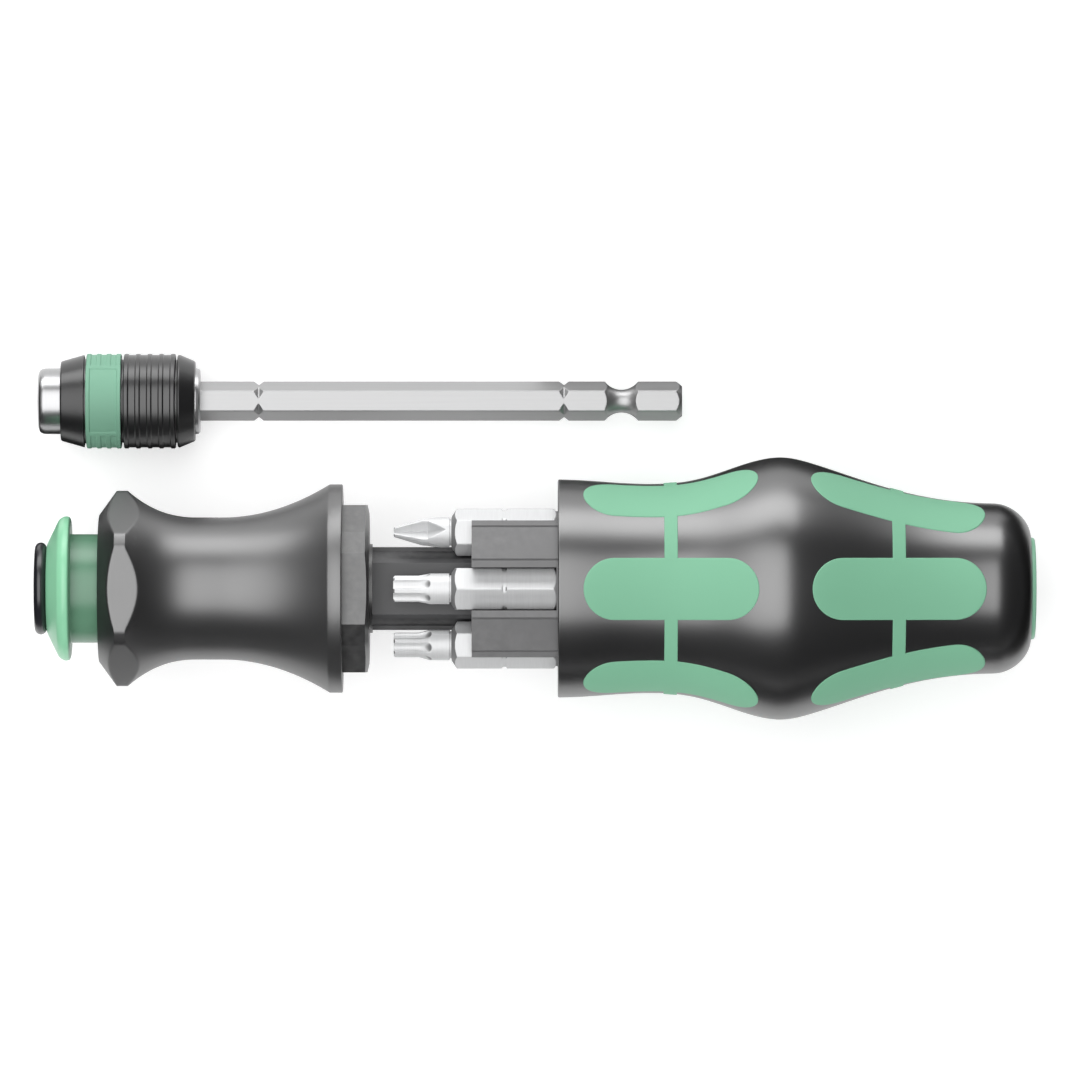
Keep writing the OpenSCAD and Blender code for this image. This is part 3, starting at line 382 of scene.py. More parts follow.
for name, (colour, scale, depth, drift, rough, specular, ior, edgeHighlightTone) in plastics.items():
    finish[name] = newMaterial(name, mouldedGrain, {"Colour": colour, "Grain Scale": scale, "Grain Depth": depth,
                                                    "Drift": drift, "Roughness": rough},
                               edgeHighlightTone, 0.35, Specular_IOR_Level=specular, IOR=ior)
for name, (colour, across, scale, depth, rough, metallic) in steels.items():
    # Painted edge highlight: the steels' sharp edges are a fifth lighter
    bright = tuple(min(1.0, c * 1.2) for c in colour[:3]) + (1,)
    finish[name] = newMaterial(name, steelGrain, {"Colour": colour, "Across": across, "Line Scale": scale,
                                                  "Line Depth": depth, "Roughness": rough},
                               bright, 0.5, Metallic=metallic)


def paintShadeAlong(material, coordinate, near, far, share):
    # Painted shade: the colour falls to a share of itself between two values of the X of a texture coordinate
    tree = material.node_tree
    colourSocket = tree.nodes["Principled BSDF"].inputs["Base Color"]
    coloured = colourSocket.links[0].from_socket
    split = node(tree, "ShaderNodeSeparateXYZ")
    link(tree, node(tree, "ShaderNodeTexCoord").outputs[coordinate], split.inputs[0])
    fall = mappedRange(tree, split.outputs[0], near, far, 1.0, share)
    link(tree, scaledColour(tree, coloured, fall), colourSocket)


# Painted shade: the collar's tube is darker than its head, standing in for the shade the head and grip cast on it
paintShadeAlong(finish["collarGreen"], "Object", 5.25 * mm, 5.75 * mm, 0.38)
# Painted shade: the bits' faces that lean forward, such as the cones, the flutes' run-outs and the tip ends, are
# darker than their flats
paintShadeAlong(finish["bitSteel"], "Normal", -0.38, -0.55, 0.35)
print("materials made:", len(finish))


# ---- rear handle shell ----

shell = {
    "mouthR": 16.8, "waistR": 16.1, "waistAt": 14.2, "bulgeR": 20.29, "bulgeAt": 34.8, "tailR": 13.1,
    "endR": 8.3, "holeR": 8.05, "bayR": 15.15, "bayFlat": 14.75, "chamberR": 11.0, "flangeR": 9.0,
    "mouthBend": 0.3, "around": 240, "spread": np.linspace(-2.0, 2.0, 9), "tailRound": 1.3,
}


def shellRadius(x):
    # Mouth to waist to bulge to tail, each stretch an eased cosine, averaged over a few millimetres so that the
    # bulge is round on top
    spread = [stretchRadius(np.asarray(x, float) + away) for away in shell["spread"]]
    return np.mean(spread, axis=0)


def stretchRadius(x):
    s = x - place["shellFront"]
    tail = place["shellTail"] - place["shellFront"]
    toWaist = blendTo(shell["mouthR"], shell["waistR"], ease(s / shell["waistAt"], 1, 1))
    toBulge = blendTo(shell["waistR"], shell["bulgeR"],
                      ease((s - shell["waistAt"]) / (shell["bulgeAt"] - shell["waistAt"]), 1, 1.4))
    toTail = blendTo(shell["bulgeR"], shell["tailR"],
                     ease((s - shell["bulgeAt"]) / (tail - shell["bulgeAt"]), 0.7, 1))
    return np.where(s < shell["waistAt"], toWaist, np.where(s < shell["bulgeAt"], toBulge, toTail))


def roundedLine(line, reach, step=0.1):
    # Resamples a line by its length and averages each point with its neighbours; the ends stay in place
    length = np.concatenate([[0], np.cumsum(np.linalg.norm(np.diff(line, axis=0), axis=1))])
    even = np.linspace(0, length[-1], int(length[-1] / step))
    pts = np.column_stack([np.interp(even, length, line[:, k]) for k in (0, 1)])
    n = int(reach / step)
    padded = np.concatenate([2 * pts[0] - pts[n:0:-1], pts, 2 * pts[-1] - pts[-2:-n - 2:-1]])
    window = np.hanning(2 * n + 3)[1:-1]
    window /= window.sum()
    return np.column_stack([np.convolve(padded[:, k], window, mode="valid") for k in (0, 1)])


def makeHandleShell():
    a = np.radians(np.linspace(90, 2, 34))
    endX = place["shellTail"] + (place["shellEnd"] - place["shellTail"]) * np.sin(a) ** 1.18
    endR = blendTo(shell["endR"], shell["tailR"], np.cos(a) ** 1.18)
    bodyX = np.linspace(place["shellTail"] - 0.2, place["shellFront"] + 0.7, 150)
    front, step, bay = place["shellFront"], place["buttonStep"], place["bayBack"]
    joint = np.argmax(bodyX < place["shellTail"] - 3)
    tail = np.column_stack([np.concatenate([endX, bodyX[:joint]]),
                            np.concatenate([endR, shellRadius(bodyX[:joint])])])
    rest = np.column_stack([bodyX[joint:], shellRadius(bodyX[joint:])])
    curve = np.concatenate([roundedLine(tail, shell["tailRound"])[::3], rest])
    corners = np.concatenate([
        [[step, shell["holeR"]], [place["shellEnd"], shell["holeR"]]], curve,
        [[front, shell["mouthR"]], [front, shell["bayR"]], [bay, shell["bayR"]], [bay, shell["chamberR"]],
         [place["chamberBack"], shell["chamberR"]], [place["chamberBack"], shell["flangeR"]],
         [step, shell["flangeR"]]]])
    bends = np.zeros(len(corners))
    bends[1] = 0.15
    bends[-7:-5] = shell["mouthBend"]
    line = easedOutline(corners, bends)
    angles = turnAngles(shell["around"])
    radii = np.repeat(line[:, 1:], shell["around"], 1)
    inBay = (line[:, 0] < bay + 0.01) & (line[:, 1] < shell["bayR"] + 0.15)
    radii[inBay] = np.minimum(radii[inBay], flatLimit(angles, shell["bayFlat"], np.pi / 6))
    newPiece("handleShell", [turnedShell(line[:, 0], radii, shell["around"])], finish["shellBlack"],
             "handle", ["handle_shell"])


# ---- soft green zones let into the shell ----

zone = {"length": 26.8, "width": 9.5, "frontAt": 3.9, "rearAt": 38.8, "ringWidth": 2.05, "depth": 0.45,
        "proud": 0.12, "edge": 0.16, "capsuleSteps": 120}


def capsuleShell(start, degrees):
    # Outline: two half circles and two straight sides; rings run from the middle out, over the rounded
    # edge and back to the middle underneath. Height is measured from the shell's own surface.
    half, reach = zone["width"] / 2, (zone["length"] - zone["width"]) / 2
    straight, arc = 2 * reach, np.pi * half
    lengths = np.array([straight, arc, straight, arc])
    along = np.linspace(0, lengths.sum(), zone["capsuleSteps"], endpoint=False)
    marks = np.concatenate([[0], np.cumsum(lengths)])
    part = np.clip(np.searchsorted(marks, along, side="right") - 1, 0, 3)
    t = (along - marks[part]) / lengths[part]
    parts = [part == k for k in range(4)]
    spineX = np.select(parts, [blendTo(-reach, reach, t), reach + 0 * t, blendTo(reach, -reach, t), -reach + 0 * t])
    angle = np.select(parts, [np.pi / 2 + 0 * t, np.pi / 2 - np.pi * t, -np.pi / 2 + 0 * t, -np.pi / 2 - np.pi * t])
    normal = np.stack([np.cos(angle), np.sin(angle)], -1)

    def outlineAt(inset):
        return np.stack([spineX, 0 * spineX], -1) + (half - inset) * normal

    edge = zone["edge"]
    rings, heights = [], []
    for share in np.linspace(0.06, 1, 15):
        rings.append(outlineAt(edge) * share)
        heights.append(zone["proud"])
    for turn in np.radians(np.linspace(15, 90, 6)):      # quarter round at the rim
        rings.append(outlineAt(edge * (1 - np.sin(turn))))
        heights.append(zone["proud"] - edge * (1 - np.cos(turn)))
    rings.append(outlineAt(0))
    heights.append(-zone["depth"])
    for share in (0.7, 0.35, 0.06):
        rings.append(outlineAt(0) * share)
        heights.append(-zone["depth"])
    flat = np.stack(rings)
    x = start + zone["length"] / 2 + flat[..., 0]
    side = flat[..., 1]
    radius = shellRadius(x) + np.array(heights)[:, None]
    points = np.stack([x, side, np.sqrt(np.maximum(radius ** 2 - side ** 2, 0.01))], -1)
    return ringShell(turnedAbout(points, degrees), False)


def ringArcShell(start, degrees):
    # The narrow ring between two capsules: a rounded strip carried round the axis
    middle, half, edge = start + zone["length"] / 2, zone["ringWidth"] / 2, 0.12
    top = zone["proud"] - 0.003
    strip = easedOutline([[-half, -zone["depth"]], [-half, top], [half, top], [half, -zone["depth"]]],
                         [0, edge, edge, 0])
    radius = shellRadius(middle)
    inset = math.degrees(math.asin((zone["width"] / 2 - 0.5) / float(radius)))
    turn = np.radians(np.linspace(inset, 60 - inset, 40))
    x = middle + strip[:, 0]
    r = shellRadius(x) + strip[:, 1]
    rings = np.stack([np.broadcast_to(x, (len(turn), len(x))),
                      np.sin(turn)[:, None] * r, np.cos(turn)[:, None] * r], -1)
    return ringShell(turnedAbout(rings, degrees), False)


def makeSoftBand(name, at, nodeName):
    start = place["shellFront"] + at
    shells = [capsuleShell(start, 60 * k) for k in range(6)] + [ringArcShell(start, 60 * k) for k in range(6)]
    newPiece(name, shells, finish["softGreen"], "handle", [nodeName])


makeHandleShell()
makeSoftBand("softBandFront", zone["frontAt"], "soft_band_front")
makeSoftBand("softBandRear", zone["rearAt"], "soft_band_rear")
print("rear handle and soft zones done")


# ---- green end button ----

button = {"faceX": 153.95, "radius": 7.85, "flangeR": 8.8, "flangeT": 1.4, "skirtEnd": 150.0, "boreR": 6.45,
          "faceT": 1.1, "edge": 0.5, "wedge": [[146.7, 7.44], [146.7, 7.88], [151.0, 7.88], [151.0, 5.95],
                                              [149.7, 5.95], [148.61, 5.95]]}


def makeReleaseButton():
    b = button
    flangeX = b["skirtEnd"] + b["flangeT"]
    line = easedOutline(
        [[b["faceX"], 0.3], [b["faceX"], b["radius"]], [flangeX, b["radius"]], [flangeX, b["flangeR"]],
         [b["skirtEnd"], b["flangeR"]], [b["skirtEnd"], b["boreR"]], [b["faceX"] - b["faceT"], b["boreR"]],
         [b["faceX"] - b["faceT"], 0.3]], [0, b["edge"], 0.1, 0.15, 0.15, 0.1, 0.3, 0], loop=False)
    newPiece("releaseButton", [turnedShell(line[:, 0], line[:, 1], 144, closed=False),
                               prismShell(b["wedge"], -2, 2)],
             finish["buttonGreen"], "button", ["release_button"])


# ---- front grip, collar and nose ring ----

grip = {"faceR": 11.3, "ridgeR": 15.05, "coneLen": 2.7, "ridgeLen": 1.7, "flatR": 13.55, "waistR": 10.95,
        "waistFront": 25.1, "waistBack": 28.8, "flangeAt": 45.4, "flangeR": 16.05, "stemR": 6.2, "stemFront": 23.5,
        "socketR": 4.3, "recessR": 8.66, "recessBack": 18.4, "flatBlend": 0.07, "around": 288}


def makeFrontGrip():
    # Fall: 1 - (1 - t)^2.3 from ridge to waist; rise: t^2 from waist to flange; six flats cut the ridge
    g = grip
    ridge = place["gripFront"] + g["coneLen"]
    hollow = ridge + g["ridgeLen"]
    fallX = np.linspace(hollow, g["waistFront"], 70)
    fall = blendTo(g["ridgeR"], g["waistR"], 1 - (1 - (fallX - hollow) / (g["waistFront"] - hollow)) ** 2.3)
    riseX = np.linspace(g["waistBack"], g["flangeAt"], 60)
    rise = blendTo(g["waistR"], g["flangeR"], ((riseX - g["waistBack"]) / (g["flangeAt"] - g["waistBack"])) ** 2)
    back = place["gripBack"]
    coneX = np.linspace(place["gripFront"] + 0.4, ridge - 0.12, 14)
    cone = blendTo(g["faceR"], g["ridgeR"], (coneX - place["gripFront"]) / g["coneLen"])
    ridgeX = np.linspace(ridge + 0.12, hollow - 0.1, 8)
    outer = np.concatenate([
        [[place["gripFront"], g["faceR"]]], np.column_stack([coneX, cone]), [[ridge, g["ridgeR"]]],
        np.column_stack([ridgeX, 0 * ridgeX + g["ridgeR"]]), np.column_stack([fallX, fall]),
        np.column_stack([riseX, rise]), [[back, g["flangeR"]]]])
    inner = np.array([[back, g["stemR"]], [g["stemFront"], g["stemR"]], [g["stemFront"], g["socketR"]],
                      [g["recessBack"], g["socketR"]], [g["recessBack"], g["recessR"]],
                      [place["gripFront"], g["recessR"]]])
    corners = np.concatenate([outer, inner])
    bends = np.zeros(len(corners))
    bends[[0, 1 + len(coneX)]] = 0.1
    bends[len(outer) - 1] = 0.18
    bends[-1] = 0.25
    line = easedOutline(corners, bends)
    angles = turnAngles(g["around"])
    radii = np.repeat(line[:, 1:], g["around"], 1)
    cut = (line[:, 0] < g["waistFront"]) & (line[:, 1] > g["recessR"] + 0.3)
    radii[cut] = softLeast(radii[cut], flatLimit(angles, g["flatR"], 0.0)[None, :], g["flatBlend"])
    newPiece("frontGrip", [turnedShell(line[:, 0], radii, g["around"])], finish["gripCharcoal"],
             "magazine", ["front_grip"], crease=40)


collar = {"front": 1.85, "faceR": 6.77, "dishBack": 3.75, "rimFront": 4.6, "rimR": 11.1, "headBack": 5.55,
          "tubeR": 8.36, "back": 11.2, "boreR": 4.4, "rampFront": 5.0, "rampR": 5.49, "rampBack": 10.22,
          "rimBend": 0.7}


def makeReleaseCollar():
    c = collar
    line = easedOutline(
        [[c["front"], c["boreR"]], [c["front"], c["faceR"]], [c["dishBack"], c["rimR"] - 0.42],
         [c["rimFront"], c["rimR"] + 0.05], [c["headBack"] - 0.22, c["rimR"] - 0.05],
         [c["headBack"], c["rimR"] - 0.55], [c["headBack"], c["tubeR"]], [c["back"], c["tubeR"]],
         [c["back"], c["boreR"]], [c["rampBack"], c["boreR"]], [c["rampFront"], c["rampR"]],
         [c["rampFront"], c["boreR"]]],
        [0.2, 0.35, c["rimBend"], c["rimBend"], 0.3, 0.3, 0.25, 0.2, 0.1, 0, 0, 0], steps=9)
    newPiece("releaseCollar", [turnedShell(line[:, 0], line[:, 1], 192)], finish["collarGreen"],
             "collar", ["release_collar"])


def makeNoseRing(outerR=7.1, innerR=4.3, thick=1.8):
    # A flat ring with a half-round rim
    turn = np.radians(np.linspace(0, 180, 25))
    rim = thick / 2
    x = np.concatenate([rim - rim * np.cos(turn), [thick, 0]])
    r = np.concatenate([outerR - rim + rim * np.sin(turn), [innerR, innerR]])
    newPiece("noseRing", [turnedShell(x, r, 144)], finish["rubberBlack"], "magazine", ["nose_ring"])


makeReleaseButton()
makeFrontGrip()
makeReleaseCollar()
makeNoseRing()
print("front grip, collar and button done")


# ---- six insert bits ----

bit = {"flats": 6.35, "length": 25.0, "hexAt": 8.9, "neckR": 2.35, "neckGrooveR": 2.05, "cone": 0.95,
       "notchAt": 17.0, "notchDepth": 0.3, "circleR": 10.0, "around": 180, "cornerCut": 0.035,
       "torxTurn": 10, "fluteFar": 1.17, "fluteCut": 0.43, "fluteEnd": 3.6, "wingTurn": 25, "wing": 0.2,
       "wingEnd": 5.2, "bladeHalf": 0.55, "bladeSlope": 9, "hexTipFlats": 4.0, "hexTipEnd": 6.1}


def hexRadius(angles, flats, firstCorner, cornerCut):
    # Six flats whose corners are eased by a hair
    corner = flats / 2 / math.cos(np.pi / 6)
    return softLeast(flatLimit(angles, flats / 2, firstCorner + np.pi / 6), corner - cornerCut, 0.03)


def torxTip(x, angles, tipR):
    # Six round flutes between narrow lobes: D * cos(t) - root(r^2 - (D * sin(t))^2), t counted from a flute's
    # middle, r and D shares of the tip's radius; the flutes run out on a parabola into the neck
    body = np.interp(x, [0, 0.22, 3.9, 5.5], [tipR - 0.22, tipR, tipR, bit["neckR"]])
    t = (angles + np.radians(bit["torxTurn"])) % (np.pi / 3) - np.pi / 6
    far, cut = bit["fluteFar"] * tipR, bit["fluteCut"] * tipR
    flute = far * np.cos(t) - np.sqrt(np.maximum(cut ** 2 - (far * np.sin(t)) ** 2, 0))
    flute = np.where(np.abs(far * np.sin(t)) < cut, flute, far * np.cos(t))
    runOut = 0.18 * np.maximum(0, x - bit["fluteEnd"]) ** 2 - 0.22 * np.clip(0.25 - x, 0, 1)
    return softLeast(body[:, None], flute[None, :] + runOut[:, None], 0.05)


def crossTip(x, angles, tipR, coneLen):
    # A blunt cone less four grooves: each wing's side is wing / sin(angle from the wing's middle)
    body = np.interp(x, [0, 0.12, coneLen, coneLen + 0.6],
                     [tipR - 0.12, tipR, bit["neckR"] - 0.04, bit["neckR"]])
    wing = bit["wing"] + 0.03 * x + 0.42 * np.maximum(0, x - bit["wingEnd"])
    away = np.abs((angles - np.radians(bit["wingTurn"]) + np.pi / 4) % (np.pi / 2) - np.pi / 4)
    side = wing[:, None] / np.sin(np.maximum(away, 0.02))[None, :]
    return softLeast(body[:, None], side, 0.04)


def slotTip(x, angles):
    # A neck between two sloping planes that stand on edge to the viewer
    body = np.interp(x, [0, 0.1, 8], [2.25, bit["neckR"], bit["neckR"]])
    plane = bit["bladeHalf"] + math.tan(math.radians(bit["bladeSlope"])) * x
    side = plane[:, None] / np.maximum(np.abs(np.cos(angles)), 0.03)[None, :]
    return softLeast(body[:, None], side, 0.04)


def hexTip(x, angles):
    body = np.interp(x, [0, 0.3, 6.2, 6.6], [2.0, 2.4, 2.4, bit["neckR"]])
    flats = hexRadius(angles, bit["hexTipFlats"], 0.0, 0.02)[None, :]
    flats = flats + 4 * np.maximum(0, x - bit["hexTipEnd"])[:, None]
    return softLeast(body[:, None], flats, 0.03)


def makeBit(name, nodeName, pocket, spin, tip):
    b = bit
    corner = b["flats"] / 2 / math.cos(np.pi / 6)
    groove = b["hexAt"] - 0.35
    x = np.concatenate([
        np.linspace(0, 0.3, 6), np.linspace(0.42, groove - 0.03, 90),
        [groove, groove + 0.03, groove + 0.16, b["hexAt"] - 0.04],
        np.linspace(b["hexAt"], b["hexAt"] + 1.3, 20), [13.0],
        np.linspace(b["notchAt"] - 0.8, b["notchAt"] + 0.8, 17), [21.0],
        np.linspace(b["length"] - 0.62, b["length"], 10)])
    angles = turnAngles(b["around"])
    hexPart = hexRadius(angles, b["flats"], 0.0, b["cornerCut"])[None, :]
    notchFloor = corner - b["notchDepth"]
    limit = np.interp(
        x, [b["hexAt"], b["hexAt"] + b["cone"], b["notchAt"] - 0.7, b["notchAt"] - 0.25, b["notchAt"] + 0.25,
            b["notchAt"] + 0.7, b["length"] - 0.45, b["length"]],
        [b["neckR"] + 0.05, corner + 0.15, corner + 0.5, notchFloor, notchFloor, corner + 0.5, corner + 0.01,
         corner - 0.55])
    radii = softLeast(hexPart, limit[:, None], 0.03)
    neck = x < groove + 0.001
    radii[neck] = tip(x[neck], angles)
    ring = (x > groove + 0.001) & (x < b["hexAt"] - 0.001)
    radii[ring] = b["neckGrooveR"]
    rings = np.stack([np.repeat(x[:, None], b["around"], 1), radii * np.sin(angles), radii * np.cos(angles)], -1)
    rings = turnedAbout(rings, spin)
    rings[..., 0] += place["bitTip"]
    rings[..., 2] += b["circleR"]
    newPiece(name, [ringShell(turnedAbout(rings, 60 * pocket), False)], finish["bitSteel"],
             nodeName, [nodeName], crease=38)


makeBit("bitTorxLarge", "bit_torx_large", 0, 0, lambda x, a: torxTip(x, a, 2.05))
makeBit("bitPhillipsLarge", "bit_phillips_large", 1, -30, lambda x, a: crossTip(x, a, 0.84, 4.4))
makeBit("bitSlotted", "bit_slotted", 2, -30, slotTip)
makeBit("bitHex", "bit_hex", 3, 0, hexTip)
makeBit("bitPhillipsSmall", "bit_phillips_small", 4, -30, lambda x, a: crossTip(x, a, 0.62, 5.2))
makeBit("bitTorxSmall", "bit_torx_small", 5, -30, lambda x, a: torxTip(x, a, 1.9))
print("bits done")


# ---- blade: shank and chuck ----

blade = {"flats": 5.33, "start": 20.0, "end": 99.8, "notches": (34.2, 81.5), "notchDepth": 0.55,
         "notchReach": 0.78, "driveAt": 90.4, "driveWidth": 5.2, "driveWaist": 1.77, "chamfer": 0.95, "around": 180}


def makeBladeShank():
    # Hexagon with flats up and down; each notch is a V cut straight across every corner, the drive groove
    # a turned arc
    b = blade
    corner = b["flats"] / 2 / math.cos(np.pi / 6)
    half = b["driveWidth"] / 2
    arcR = (half ** 2 + (corner - b["driveWaist"]) ** 2) / (2 * (corner - b["driveWaist"]))
    x = np.unique(np.concatenate(
        [np.linspace(b["start"], b["end"] - 1.3, 40)] + [np.linspace(n - 1.2, n + 1.2, 61) for n in b["notches"]]
        + [np.linspace(b["driveAt"] - half - 0.3, b["driveAt"] + half + 0.3, 61),
           np.linspace(b["end"] - 1.3, b["end"], 22)]))
    limit = np.full(len(x), corner + 1.0)
    apart = np.min([np.abs(x - notch) for notch in b["notches"]], axis=0)
    cut = np.interp(apart, [0.08, b["notchReach"], b["notchReach"] + 0.4],
                    [corner - b["notchDepth"], corner, corner + 0.5])
    away = np.abs(x - b["driveAt"])
    arc = b["driveWaist"] + arcR - np.sqrt(np.maximum(arcR ** 2 - away ** 2, 0))
    limit = np.where(away < half + 0.15, np.minimum(limit, arc), limit)
    chamferAt = b["end"] - b["chamfer"]
    ended = np.interp(x, [chamferAt, b["end"]], [corner + 0.01, corner - 0.75])
    limit = np.where(x < chamferAt, limit, np.minimum(limit, ended))
    angles = turnAngles(b["around"])
    notched = cut[:, None] / np.cos(angles % (np.pi / 3) - np.pi / 6)[None, :]
    hexagon = hexRadius(angles, b["flats"], np.pi / 6, 0.03)[None, :]
    radii = softLeast(hexagon, np.minimum(limit[:, None], notched), 0.03)
    newPiece("bladeShank", [turnedShell(x, radii, b["around"], bladeAxis, closed=False)],
             finish["bladeSteel"], "blade", ["blade_shank"], crease=38)


chuck = {"sleeveFront": 3.5, "sleeveFrontR": 6.15, "sleeveR": 7.35, "bandFront": 7.5, "bandBack": 12.9,
         "sleeveBack": 13.0, "seatR": 6.9, "grooveR": 6.55, "boreR": 5.2, "chamberR": 6.2, "rampFront": 3.62,
         "rampBack": 7.4, "rampBackR": 5.95, "ringFront": 13.3, "ringBack": 21.3, "capFront": 21.6,
         "capBack": 24.35, "barrelR": 5.1, "ribDepth": 0.17, "bandRibDepth": 0.15, "ribWidth": 0.8,
         "padHalf": 5.6, "padFrame": 0.55, "shoulder": 0.22}


def ribLine(start, end, count, depth):
    # Even ribs: four corners to each, with the valleys between them
    pitch = (end - start - chuck["ribWidth"]) / (count - 1)
    first = start + pitch * np.arange(count)[:, None]
    x = first + np.array([0, 0.12, chuck["ribWidth"] - 0.12, chuck["ribWidth"]])[None, :]
    r = chuck["sleeveR"] - depth * np.array([1, 0, 0, 1])[None, :] + 0 * first
    return np.column_stack([x.ravel(), r.ravel()])


barrel = {"noseR": 4.2, "chamferR": 4.84, "chamferAt": 0.26, "fullAt": 0.9, "back": 24.5, "socketFlats": 6.45,
          "socketDepth": 9.5, "leadIn": 0.6, "magnetR": 3.35, "shankAt": 20.0, "around": 192}


def makeChuckBarrel():
    # Turned outside; inside, the hexagonal socket, the magnet's round bore and the shank's seat
    b = barrel
    angles = turnAngles(b["around"])
    socket = hexRadius(angles, b["socketFlats"], np.pi / 6, 0.02)
    seat = hexRadius(angles, blade["flats"], np.pi / 6, 0.02)
    outer = easedOutline([[0, b["noseR"]], [b["chamferAt"], b["chamferR"]], [b["fullAt"], chuck["barrelR"]],
                          [b["back"], chuck["barrelR"]]], [0.1, 0.25, 0.3, 0], loop=False)
    x = np.concatenate([outer[:, 0], [b["back"], b["shankAt"], b["shankAt"], b["socketDepth"], b["socketDepth"],
                                      b["leadIn"], 0]])
    radii = np.concatenate([np.repeat(outer[:, 1:], b["around"], 1), [seat, seat],
                            np.full((2, b["around"]), b["magnetR"]),
                            [socket, socket, socket * 0 + b["noseR"] - 0.25]])
    newPiece("chuckBarrel", [turnedShell(x, radii, b["around"], bladeAxis)],
             finish["barrelSteel"], "blade", ["chuck_barrel"], crease=38)


def makeChuckSleeve():
    c = chuck
    line = easedOutline(
        [[c["sleeveFront"], c["boreR"]], [c["sleeveFront"], c["sleeveFrontR"]],
         [c["bandFront"] - 0.34, c["sleeveR"] - 0.16], [c["bandFront"] - 0.3, c["grooveR"]],
         [c["bandFront"], c["grooveR"]], [c["bandFront"], c["seatR"] - 0.02],
         [c["bandBack"], c["seatR"] - 0.02], [c["bandBack"], c["grooveR"]],
         [c["sleeveBack"], c["grooveR"]], [c["sleeveBack"], c["boreR"]], [c["sleeveBack"] - 0.6, c["boreR"]],
         [c["sleeveBack"] - 0.6, c["chamberR"]], [c["rampBack"], c["chamberR"]], [c["rampBack"], c["rampBackR"]],
         [c["rampFront"], c["boreR"] + 0.02]],
        [0.12, 0.25, 0.12, 0.05, 0, 0, 0, 0, 0.08, 0.08, 0, 0, 0, 0, 0])
    newPiece("chuckSleeve", [turnedShell(line[:, 0], line[:, 1], 192, bladeAxis)],
             finish["chuckBlack"], "sleeve", ["chuck_sleeve"])


def makeChuckBand():
    # Four low ribs round the band; over the pad they give way to a plain panel in a raised frame
    c = chuck
    x = np.linspace(c["bandFront"], c["bandBack"], 90)
    ribs = ribLine(c["bandFront"], c["bandBack"], 4, c["bandRibDepth"])
    ribbed = np.interp(x, ribs[:, 0], ribs[:, 1])
    around = 360
    angles = turnAngles(around)
    side = c["sleeveR"] * np.sin(angles)

    def inside(value, low, high, soft):
        return np.clip((value - low) / soft, 0, 1) * np.clip((high - value) / soft, 0, 1)

    padSide = inside(side, -c["padHalf"], c["padHalf"], 0.14) * (np.cos(angles) > 0)
    panelHalf = c["padHalf"] - c["padFrame"]
    panelSide = inside(side, -panelHalf, panelHalf, 0.14) * (np.cos(angles) > 0)
    panelX = inside(x, c["bandFront"] + c["padFrame"], c["bandBack"] - c["padFrame"], 0.12)
    framed = c["sleeveR"] - c["bandRibDepth"] * panelX[:, None] * panelSide[None, :]
    outer = ribbed[:, None] * (1 - padSide)[None, :] + framed * padSide[None, :]
    outer[[0, -1]] -= 0.08
    radii = np.concatenate([outer, np.full((2, around), c["seatR"])])
    xs = np.concatenate([x, [c["bandBack"], c["bandFront"]]])
    newPiece("chuckBand", [turnedShell(xs, radii, around, bladeAxis)], finish["bandGreen"],
             "sleeve", ["chuck_band"])


def makeRibbedRing():
    c = chuck
    ribs = ribLine(c["ringFront"], c["ringBack"], 5, c["ribDepth"])
    step = c["ringFront"] - c["shoulder"]       # closes the thin gap in front of the ring
    corners = np.concatenate([ribs, [[c["ringBack"], c["boreR"]], [step, c["boreR"]], [step, c["grooveR"] - 0.1],
                                     [c["ringFront"], c["grooveR"] - 0.1]]])
    line = easedOutline(corners, np.concatenate([np.full(len(ribs), 0.07), [0.1, 0, 0, 0]]), steps=4)
    newPiece("ribbedRing", [turnedShell(line[:, 0], line[:, 1], 192, bladeAxis)],
             finish["chuckBlack"], "ring", ["ribbed_ring"])


def makeRearCap():
    c = chuck
    step = c["capFront"] - c["shoulder"]        # closes the thin gap behind the ring
    line = easedOutline(
        [[step, c["barrelR"]], [step, c["grooveR"] - 0.1], [c["capFront"], c["grooveR"] - 0.1],
         [c["capFront"], c["sleeveR"] - 0.3], [c["capFront"] + 0.25, c["sleeveR"] - 0.12],
         [c["capBack"] - 0.2, c["sleeveR"] - 1.1], [c["capBack"], c["sleeveR"] - 1.3],
         [c["capBack"], c["barrelR"]]],
        [0, 0, 0, 0.1, 0.15, 0.15, 0.1, 0])
    newPiece("rearCap", [turnedShell(line[:, 0], line[:, 1], 192, bladeAxis)],
             finish["chuckBlack"], "blade", ["rear_cap"])


makeBladeShank()
makeChuckBarrel()
makeChuckSleeve()
makeChuckBand()
makeRibbedRing()
makeRearCap()
print("blade and chuck done")


# ---- springs, as round wire ----

springs = {
    # name: node, body, coil radius, wire, start, end, turns, on the blade's axis
    "ejectorSpring": ("ejector_spring", "handle", 6.7, 0.8, 81.9, 125.9, 12, False),
    "collarSpring": ("collar_spring", "magazine", 5.88, 0.6, 11.3, 18.3, 5, False),
    "sleeveSpring": ("sleeve_spring", "blade", 5.87, 0.45, 8.2, 12.35, 4, True),
    "magnetSpring": ("magnet_spring", "blade", 2.45, 0.4, 12.75, 19.95, 6, True),
}


def pressSpring(name):
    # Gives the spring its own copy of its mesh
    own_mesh(bpy.data.objects[name])


for name, (nodeName, body, radius, wire, start, end, turns, onBlade) in springs.items():
    coil = coilShell(radius, wire, start, end, turns, bladeAxis if onBlade else (0, 0))
    newPiece(name, [coil], finish["springSteel"], body, [nodeName])
    pressSpring(name)


